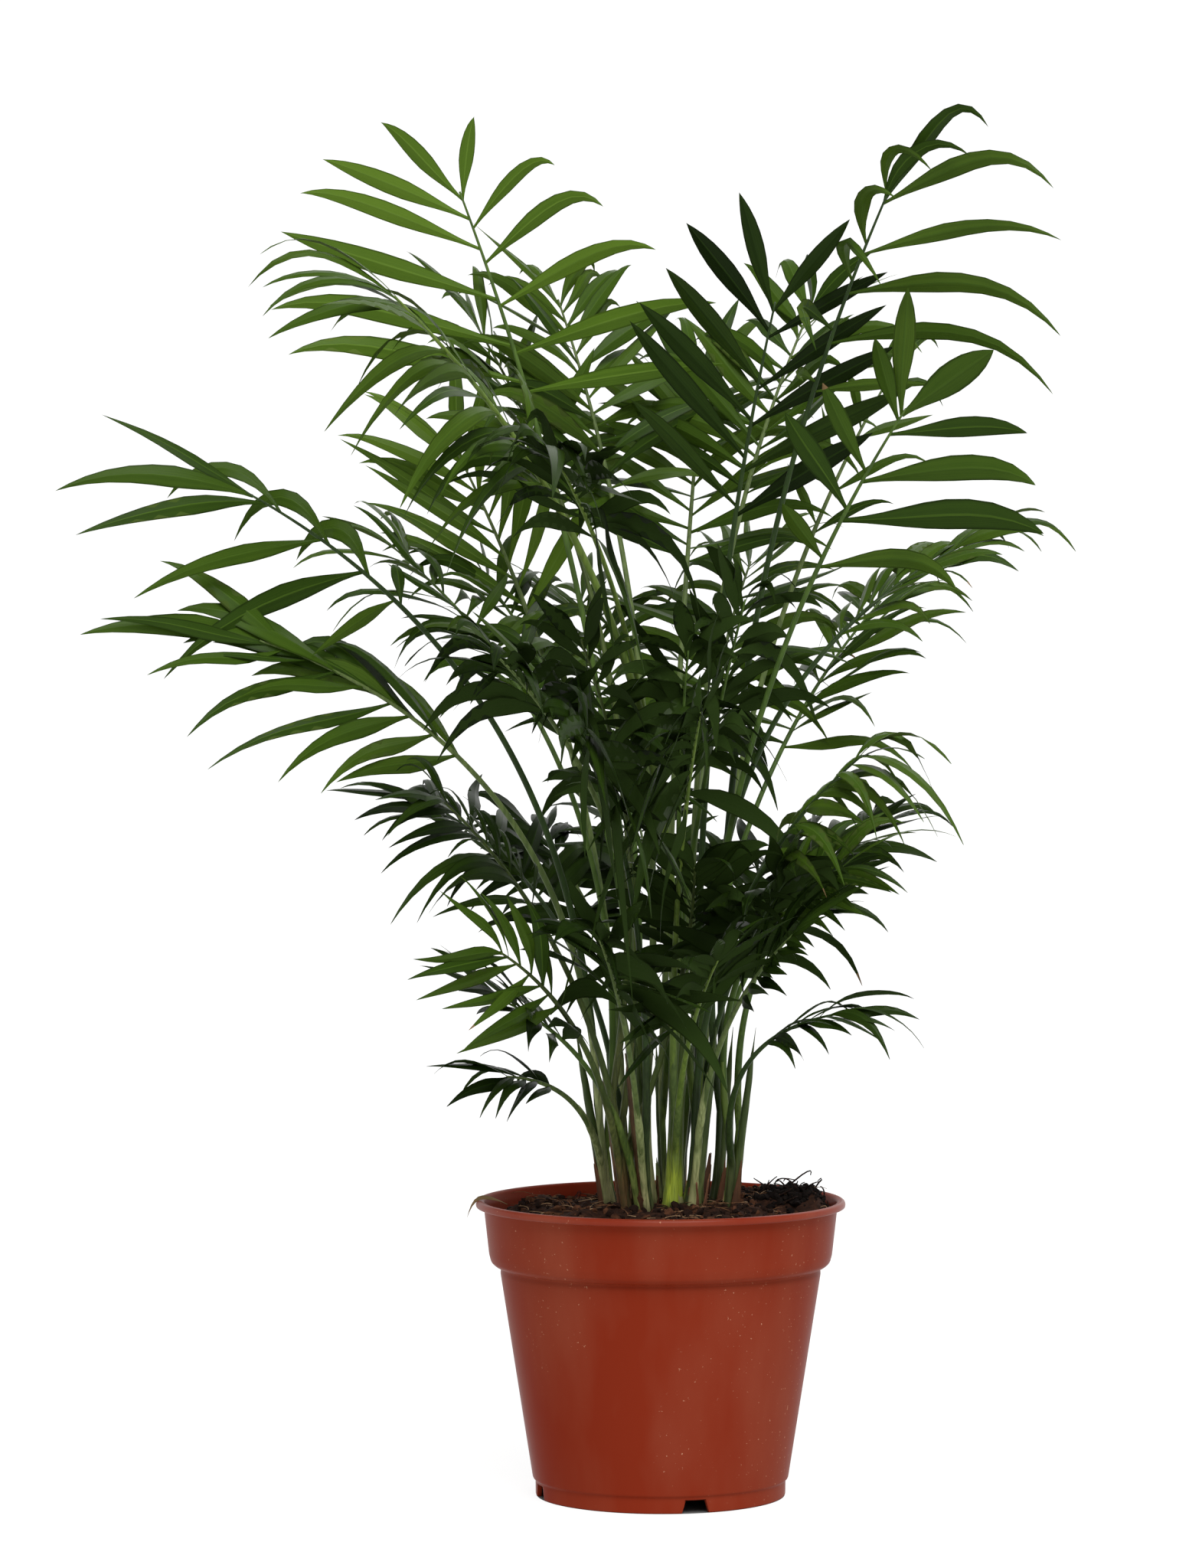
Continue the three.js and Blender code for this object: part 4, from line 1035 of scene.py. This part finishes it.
sheathPlan = {
    "sides": 14,
    "rings": 46,
    "sunk": 0.004,  # how far it starts below the soil
    "above": 0.044,  # how far up the stalk it ends
    "hug": 0.96,  # how far off the cane's middle it runs, as a share of the cane's radius
    "wrap": 0.52,  # its own radius down there, as a share of the cane's
    "leave": 0.03,  # it leaves the cane this far below the stalk's foot
    "joined": 0.002,  # and is one with the stalk this far above it
    "narrows": 0.012,  # how far below the place where it leaves it begins to grow thinner
    "skin": 0.00014,  # how much thicker than the stalk it ends
    "ribs": 0.1,
    "slant": 0.3,  # the share of its length over which its upper end slopes off to one side
    "seed": 77,
    "colours": {
        "Green": dict(body=(96, 116, 50), second=(46, 62, 22), foot=(128, 138, 74)),
        "Grey": dict(body=(146, 156, 104), second=(72, 84, 42), foot=(176, 172, 122)),
        "Yellow": dict(body=(92, 110, 56), second=(62, 80, 38), foot=(186, 202, 66), high=0.172),
        "Deep": dict(body=(48, 64, 30), second=(26, 38, 16), foot=(76, 82, 48)),
        "Brown": dict(body=(88, 96, 50), second=(48, 54, 28), foot=(112, 78, 52)),
    },
}


# which colour a frond's sheath and stalk have: 0 green, 1 grey, 2 yellow, 3 deep, 4 brown at the foot
def stemShades():
    shade = np.random.default_rng(sheathPlan["seed"]).choice([0, 1, 1, 3], len(fronds))
    shade[[frond["cane"]["name"] == "cane_middle_thick" for frond in fronds]] = 2
    shade[[frond["cane"]["name"] == "cane_left_front" for frond in fronds]] = 4
    shade[[frond["name"] in stalkPlan["yellow"] for frond in fronds]] = 2
    shade[[frond["name"] in stalkPlan["deep"] for frond in fronds]] = 3
    return shade


# sheath: up beside its cane, then over into its stalk; the middle and the radius are eased from one to the
# other, and over the last stretch it grows thinner on one side only, which leaves a slanting end
def addSheaths():
    h = sheathPlan
    s = np.linspace(0, 1, h["rings"])
    centres, radii = [], []
    for number, frond in enumerate(fronds):
        cane, path = frond["cane"], frond["path"]
        lean, length = cane["lean"], cane["length"]
        climb = frond["level"] * length + h["sunk"]
        run = s * (climb + h["above"])
        level = (run - h["sunk"]) / length
        thick = caneRadius(cane, np.clip(level, 0, 1))
        side = unit(path["start"] - lerp(cane["start"], cane["end"], frond["level"]))
        besideCane = lerp(cane["start"], cane["end"], level[:, None]) + side * (h["hug"] * thick)[:, None]
        t = np.maximum(0, run - climb) / (2 * np.linalg.norm(path["bend"] - path["start"]))
        onStalk = pathPoint(path, t) - lean * np.maximum(0, climb - run)[:, None]
        over = ease((run - climb + h["leave"]) / (h["leave"] + h["joined"]))
        thinAt = h["leave"] + h["narrows"]
        narrowing = ease((run - climb + thinAt) / (thinAt + 0.7 * h["above"]))
        radius = lerp(h["wrap"] * thick, stalkRadius(frond, t) + h["skin"], narrowing)
        sloped = 0.6 * radius * ease((s - 1 + h["slant"]) / h["slant"])
        aside = np.cross(lean, side) * (-1) ** number
        centres.append(lerp(besideCane, onStalk, over[:, None]) + aside * sloped[:, None])
        radii.append(radius - sloped)
    corners, faces = roughTubes(np.array(centres), np.array(radii), h["sides"], h["ribs"], 0.0012, 8, 0.05)
    piece = addPiece("palmSheaths", corners, faces, stemFinishes("sheath", h["colours"]),
                     tubeSlots(stemShades(), h["rings"], h["sides"]))


huskPlan = {
    "across": 15,
    "up": 14,
    "thick": 0.0003,
    "perCane": 2,
    "high": (0.008, 0.026),
    "sunk": 0.003,  # how far it starts below the soil
    "span": (80, 170),  # degrees round the cane
    "fall": 0.85,  # how far its top edge falls to both sides, as a share of its height
    "torn": 0.16,  # how ragged that edge is
    "off": 1.1,  # its radius, in radii of the cane's foot, and how much more each further one has
    "offMore": 0.12,
    "flare": 0.35,  # how far its upper end may stand off, as a share of its radius
    "narrow": 0.35,  # how much narrower it gets, as a share
    "seed": 31,
    "colours": {
        "Tan": dict(body=(206, 182, 142), second=(150, 120, 86), foot=(186, 154, 112), earth=(120, 92, 64),
                    high=0.15, roughness=0.7),
        "Brown": dict(body=(138, 96, 66), second=(84, 54, 38), foot=(112, 74, 52), earth=(74, 48, 34),
                      high=0.15, roughness=0.7),
        "Dark": dict(body=(112, 78, 52), second=(66, 44, 30), foot=(90, 60, 40), earth=(56, 38, 28),
                     high=0.15, roughness=0.7),
        "Green": dict(body=(120, 132, 78), second=(78, 90, 48), foot=(146, 142, 96), earth=(84, 74, 48),
                      high=0.15, roughness=0.6),
    },
}


# husk: part of a tube round a cane's foot, its top edge falling to both sides as 1 - |a|^1.6, a little torn
def addHusks():
    k = huskPlan
    rng = np.random.default_rng(k["seed"])
    a = np.linspace(-1, 1, k["across"])
    v = np.linspace(0, 1, k["up"])[:, None]
    corners, faces, slots = [], [], []
    count = 0
    for cane in canes:
        for number in range(k["perCane"]):
            high = rng.uniform(*k["high"])
            span = math.radians(rng.uniform(*k["span"]))
            turn = rng.uniform(0, 2 * math.pi)
            torn = k["torn"] * softNoise(np.stack([a * 3, a * 0 + count, a * 0], -1), 0.31, k["seed"])
            rise = (high * (1 - k["fall"] * np.abs(a) ** 1.6 + torn)) * v - k["sunk"]
            axis = lerp(cane["start"], cane["end"], (rise / cane["length"])[..., None])
            foot = cane["width"] / 2 * canePlan["flareWidth"] * (k["off"] + k["offMore"] * number)
            radius = foot * (1 + k["flare"] * v ** 2 * rng.uniform(-0.4, 1))
            angle = turn + a * span / 2 * (1 - k["narrow"] * v)
            corners.append((axis + turned(radius, angle, 0)).reshape(-1, 3))
            faces.append(gridFaces(k["up"], k["across"], closed=False) + count * k["up"] * k["across"])
            slots.append(np.full(len(faces[-1]), rng.choice([0, 1, 1, 2, 3])))
            count += 1
    piece = addPiece("palmHusks", np.concatenate(corners), np.concatenate(faces).tolist(),
                     stemFinishes("husk", k["colours"]), np.concatenate(slots))
    shell = piece.modifiers.new("shell", "SOLIDIFY")
    shell.thickness = k["thick"]
    shell.offset = 0


# Stalks

stalkPlan = {
    "sides": 10,
    "rings": 72,
    "foot": 0.0018,
    "neck": 0.00115,
    "tip": 0.0005,
    "channel": 0.24,  # depth of the groove along the upper side, as a share
    "sunk": 0.04,  # the share of its length over which it thickens inside its sheath
    "yellow": ["frond_arching_left", "frond_front_high"],
    "deep": ["frond_crown", "frond_top_right"],
    "colours": {
        "Green": dict(body=(74, 98, 38), second=(48, 68, 26)),
        "Grey": dict(body=(96, 112, 62), second=(62, 78, 40)),
        "Yellow": dict(body=(100, 121, 50), second=(70, 90, 36)),
        "Deep": dict(body=(46, 66, 27), second=(30, 46, 19)),
        "Brown": dict(body=(72, 86, 38), second=(46, 58, 26)),
    },
}


# radius along a stalk: foot to neck, then neck to tip; a frond's stout multiplies it
def stalkRadius(frond, t):
    share = frond["path"]["share"]
    stalk = lerp(stalkPlan["foot"], stalkPlan["neck"], t / share)
    rib = lerp(stalkPlan["neck"], stalkPlan["tip"], (t - share) / (1 - share))
    return np.where(t < share, stalk, rib) * frond.get("stout", 1)


def channelled(angle):
    return 1 - stalkPlan["channel"] * np.maximum(0, np.cos(angle)) ** 4


def addStalks():
    k = stalkPlan
    t = np.linspace(0, 1, k["rings"])
    centres = np.array([pathPoint(frond["path"], t) for frond in fronds])
    radii = np.array([stalkRadius(frond, t) for frond in fronds]) * (0.2 + 0.8 * ease(t / k["sunk"]))
    facing = np.array([unit(np.array(frond["face"], float)) for frond in fronds])[:, None]
    rings = ringsAlong(centres, radii, k["sides"], facing, channelled)
    corners, faces = closedTubes(rings, centres[:, 0], centres[:, -1])
    piece = addPiece("palmStalks", corners, faces, stemFinishes("stalk", k["colours"], 600.0),
                     tubeSlots(stemShades(), k["rings"], k["sides"]))


addCanes()
addSheaths()
addHusks()
addStalks()
print("canes, sheaths, husks and stalks are up")


# Leaflets

leafPlan = {
    "width": 0.0042,  # width = this + growth * length
    "widthGrowth": 0.05,
    "widest": 0.42,  # how far along a leaflet it is widest, and for a blunt one
    "widestBlunt": 0.62,
    "baseWidth": 0.16,
    "sweeps": (72, 36, 24),  # degrees off the rib: lowest, highest and last pair
    "first": 0.15,  # where the first pair stands, in steps from the neck
    "firstPair": 0.86,  # how long it is, as a share
    "stagger": 0.25,  # how far the one row stands before the other, in steps
    "lastPair": 0.04,  # how far before the tip the last pair stands, as a share of the blade
    "ageing": 1.3,
    # what a frond, a row or an end leaflet may have otherwise
    "common": {
        "lift": 14,  # degrees that it rises off the blade
        "hook": 0.08,  # how much further the very tip hangs
        "curl": 0.07,  # how far it bends towards the frond's tip
        "bend": (0, 0, 0),  # and how far it bends along x, y and z
        "wide": 1,
        "longer": 1,
        "blunt": 0,  # 1 is broadest far up, with a round end
        "turn": 0,  # degrees more off the rib for the lowest pair, fading towards the tip
        "wild": 1,  # multiplies most of the chances below
    },
    "sway": 0.016,  # how far its middle line swings to one side and back, as a share of its length
    # chances, either way
    "placeChance": 0.12,
    "sweepChance": 8,
    "liftChance": 11,
    "lengthChance": 0.1,
    "widthChance": 0.16,
    "droopChance": 0.5,
    "curlChance": 0.07,
    "rollChance": 20,  # degrees that a leaflet is turned about itself at its root
    "twistChance": 30,  # and how much more at its tip
    "fold": 9,  # degrees that each half slopes down from the midvein
    "buried": 0.0002,  # how deep its root sits in the rib
    "thick": 0.0003,
    "vein": 0.08,  # half width of the midvein as a share
    "veinStand": 0.00008,
    "rows": [0.0, 0.05, 0.12, 0.21, 0.31, 0.42, 0.53, 0.64, 0.75, 0.85, 0.93, 0.98],
    "dryShare": 0.014,  # how many leaflets have a dry tip
    "seed": 700,
    # tones of whole fronds. Besides young and old leaves, they hold painted light: the light tone also paints
    # light shining through the leaflets at the top of the crown, and the dark tone also paints the shade deep
    # inside the crown
    "tones": {
        "light": dict(slot="leaf_light", shades=[(70, 95, 26), (60, 84, 22), (80, 106, 31)],
                      under=(78, 94, 42), vein=(84, 110, 38)),
        "mid": dict(slot="leaf_green", shades=[(48, 70, 17), (62, 84, 23), (37, 56, 14)],
                    under=(60, 74, 32), vein=(60, 83, 25)),
        "dark": dict(slot="leaf_dark", shades=[(25, 40, 9), (39, 57, 15), (17, 28, 6)],
                     under=(36, 50, 20), vein=(31, 48, 12)),
    },
    "dry": (122, 102, 72),
}


# every leaflet of a frond as one row of numbers: two rows of leaflets, and a last pair at the tip
def leafletsOf(frond, number):
    p = leafPlan
    path = frond["path"]
    draw, swing = makeDraw(p["seed"] + number), makeDraw(p["seed"] + 90 + number)
    face = unit(np.array(frond["face"], float))
    lowSweep, highSweep, endSweep = frond.get("sweeps", p["sweeps"])
    rows = []

    def grow(share, hand, along, sweepDegrees, shorten):
        own = {**p["common"], "sweep": sweepDegrees, **frond, **frond.get("sides", ({}, {}))[hand > 0]}
        if along == 1:
            own.update(frond.get("ends", ({}, {}))[hand > 0])
        wild = own["wild"]
        forward = pathLean(path, share)
        keel = -unit(face - dot(face, forward) * forward)
        side = np.cross(forward, keel)
        sweep = math.radians(own["sweep"] + own["turn"] * math.sin(math.pi * (0.5 + along / 2))
                             + p["sweepChance"] * wild * draw())
        lift = math.radians(own["lift"] + p["liftChance"] * wild * draw())
        ageing = 1 - (1 - frond["tipLeaf"]) * along ** p["ageing"]
        length = frond["leaf"] * ageing * shorten * own["longer"] * (1 + p["lengthChance"] * wild * draw())
        outward = side * hand * math.cos(lift) - keel * math.sin(lift)
        aim = forward * math.cos(sweep) + outward * math.sin(sweep)
        rows.append(dict(
            root=pathPoint(path, share), aim=aim, keel=keel, forward=forward, length=length,
            droop=own["droop"] * (1 + p["droopChance"] * wild * draw()), hook=own["hook"] * (1 + draw()),
            curl=own["curl"] + p["curlChance"] * wild * draw(), bend=np.array(own["bend"], float),
            roll=math.radians(p["rollChance"] * wild * draw()), blunt=own["blunt"],
            sway=p["sway"] * wild * (side * swing() + keel * swing()),
            twist=math.radians(p["twistChance"] * wild * draw()),
            wide=own["wide"] * (1 + p["widthChance"] * draw()),
            shade=(number + int(1.6 + 1.6 * draw())) % 3, dry=int(0.5 + 0.5 * draw() < p["dryShare"])))

    blade = 1 - path["share"]
    step = blade / frond["pairs"]
    for pair in range(frond["pairs"]):
        along = pair / frond["pairs"]
        sweep = lerp(lowSweep, highSweep, along)
        start = path["share"] + step * (pair + frond.get("first", p["first"]) + p["placeChance"] * draw())
        shorten = frond.get("firstPair", p["firstPair"]) if pair == 0 else 1
        grow(start, -1, along, sweep, shorten)
        grow(start + step * (p["stagger"] + p["placeChance"] * draw()), 1, along, sweep, shorten)
    for hand in (-1, 1):
        grow(1 - p["lastPair"] * blade, hand, 1, endSweep, 1)
    return rows


# a dead leaflet that lies on the soil and curls over the pot's lip, as one more row
def fallenLeaflet():
    aim = unit(np.array([-0.9, -0.06, 0.44]))
    return dict(
        root=np.array([-0.0704, -0.004, 0.134]), aim=aim, keel=down, forward=aim, length=0.026, droop=0.3,
        hook=0.4, curl=0, bend=np.array([0.18, 0.05, 0]), roll=0.3, twist=1.1, blunt=0, wide=0.5, shade=0,
        sway=np.array([0, 0.03, 0]), dry=len(leafPlan["rows"]))


# half width along a leaflet: eased up from its base, then 1 - x^1.5 down to the point, or 1 - x^3 if blunt
def leafletWidth(v, blunt):
    p = leafPlan
    widest = lerp(p["widest"], p["widestBlunt"], blunt)
    rise = p["baseWidth"] + (1 - p["baseWidth"]) * ease(v / widest)
    fall = 1 - np.clip((v - widest) / (1 - widest), 0, 1) ** (1.5 + 1.5 * blunt)
    return rise * fall


# centre line: root + L (aim v + down (droop v^2 + hook v^5) + (forward curl + bend) v^2 + sway sin(2 pi v)).
# section: two halves that slope down from a raised midvein, closed by a thin underside.
def leafletRings(rows, v):
    p = leafPlan

    def column(key):
        values = np.array([row[key] for row in rows])
        return values[:, None] if values.ndim == 2 else values[:, None, None]

    length, droop, hook, curl, blunt = (column(key) for key in ("length", "droop", "hook", "curl", "blunt"))
    aim, forward, keel = column("aim"), column("forward"), column("keel")
    s = v[None, :, None]
    sideways = forward * curl + column("bend")
    centre = column("root") + length * (aim * s + down * (droop * s ** 2 + hook * s ** 5) + sideways * s ** 2
                                        + column("sway") * np.sin(2 * math.pi * s))
    along = unit(aim + down * (2 * droop * s + 5 * hook * s ** 4) + sideways * 2 * s
                 + column("sway") * 2 * math.pi * np.cos(2 * math.pi * s))
    under = unit(keel - dot(keel, along) * along)
    across = np.cross(along, under)
    turn = column("roll") + column("twist") * s ** 1.4
    side = across * np.cos(turn) + under * np.sin(turn)
    up = np.cross(along, side)
    half = column("wide") * (p["width"] + p["widthGrowth"] * length) / 2 * leafletWidth(s, blunt)
    fold = math.radians(p["fold"])
    fade = 1 - 0.7 * s
    flat, steep, vein = math.cos(fold), math.sin(fold), p["vein"]
    reach = np.array([flat, vein, 0, -vein, -flat, 0])[:, None]
    sink = np.array([steep, vein * steep, 0, vein * steep, steep, 0])[:, None]
    stand = np.array([0, 0, p["veinStand"], 0, 0, -p["thick"]])[:, None]
    rings = (centre[:, :, None] + side[:, :, None] * reach * half[:, :, None]
             + up[:, :, None] * (stand * fade[:, :, None] - sink * half[:, :, None]))
    tips = centre[:, -1] + along[:, -1] * length[:, 0] * (1 - v[-1])
    return rings, centre[:, 0] - along[:, 0] * p["buried"], tips


def leafFinish(name, colour, second, roughness=0.3, gloss=0.055):
    return newFinish(name, veins, {"Colour": paint(*colour), "Second": paint(*second), "Amount": 0.35},
                     roughness, bump=0.25, depth=0.0003, Specular_IOR_Level=gloss)


def addLeaflets():
    p = leafPlan
    v = np.array(p["rows"])
    across = np.array([1.0, 0.55, 0.5, 0.45, 0.0, 0.5])
    dry = leafFinish("leafDry", p["dry"], (96, 68, 44), 0.7)
    for tone, plan in p["tones"].items():
        chosen = [(number, frond) for number, frond in enumerate(fronds) if frond["tone"] == tone]
        rows = [row for number, frond in chosen for row in leafletsOf(frond, number)]
        if tone == "dark":
            rows.append(fallenLeaflet())
        rings, roots, tips = leafletRings(rows, v)
        corners, faces = closedTubes(rings, roots, tips)
        count = len(rows)
        uvRings = np.stack(np.broadcast_arrays(across[None], v[:, None]), -1).reshape(-1, 2)
        uv = np.tile(np.concatenate([uvRings, [[0.5, 0.0], [0.5, 1.0]]]), (count, 1))
        shade = np.array([row["shade"] for row in rows])
        dryRows = np.array([row["dry"] for row in rows])[:, None]
        # slots 0 to 2 are shades, 3 the midvein, 4 the underside, 5 what is dry, counted in rows from the tip
        strip = np.array([0, 3, 3, 0, 4, 4])
        quads = np.where(strip == 0, shade[:, None, None], strip) * np.ones((1, len(v) - 1, 1), int)
        quads[np.arange(len(v) - 1, 0, -1) <= dryRows] = 5
        head = np.where(dryRows > 0, 5, shade[:, None])
        caps = np.stack([np.repeat(shade[:, None], 6, 1), np.repeat(head, 6, 1)], 1)
        slots = np.concatenate([quads.ravel(), caps.ravel()])
        shades = plan["shades"]
        finishes = [leafFinish(f"leaf{tone.title()}{k + 1}", shades[k], shades[k - 2]) for k in range(3)]
        finishes += [leafFinish(f"vein{tone.title()}", plan["vein"], shades[0]),
                     leafFinish(f"under{tone.title()}", plan["under"], plan["vein"], 0.7, 0.015), dry]
        piece = addPiece(f"leaflets{tone.title()}", corners, faces, finishes, slots=slots, uv=uv, sharp=75)
        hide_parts(*[frond["name"] for number, frond in chosen])
        print("leaflets", tone, count, "with", len(faces), "faces")


addLeaflets()
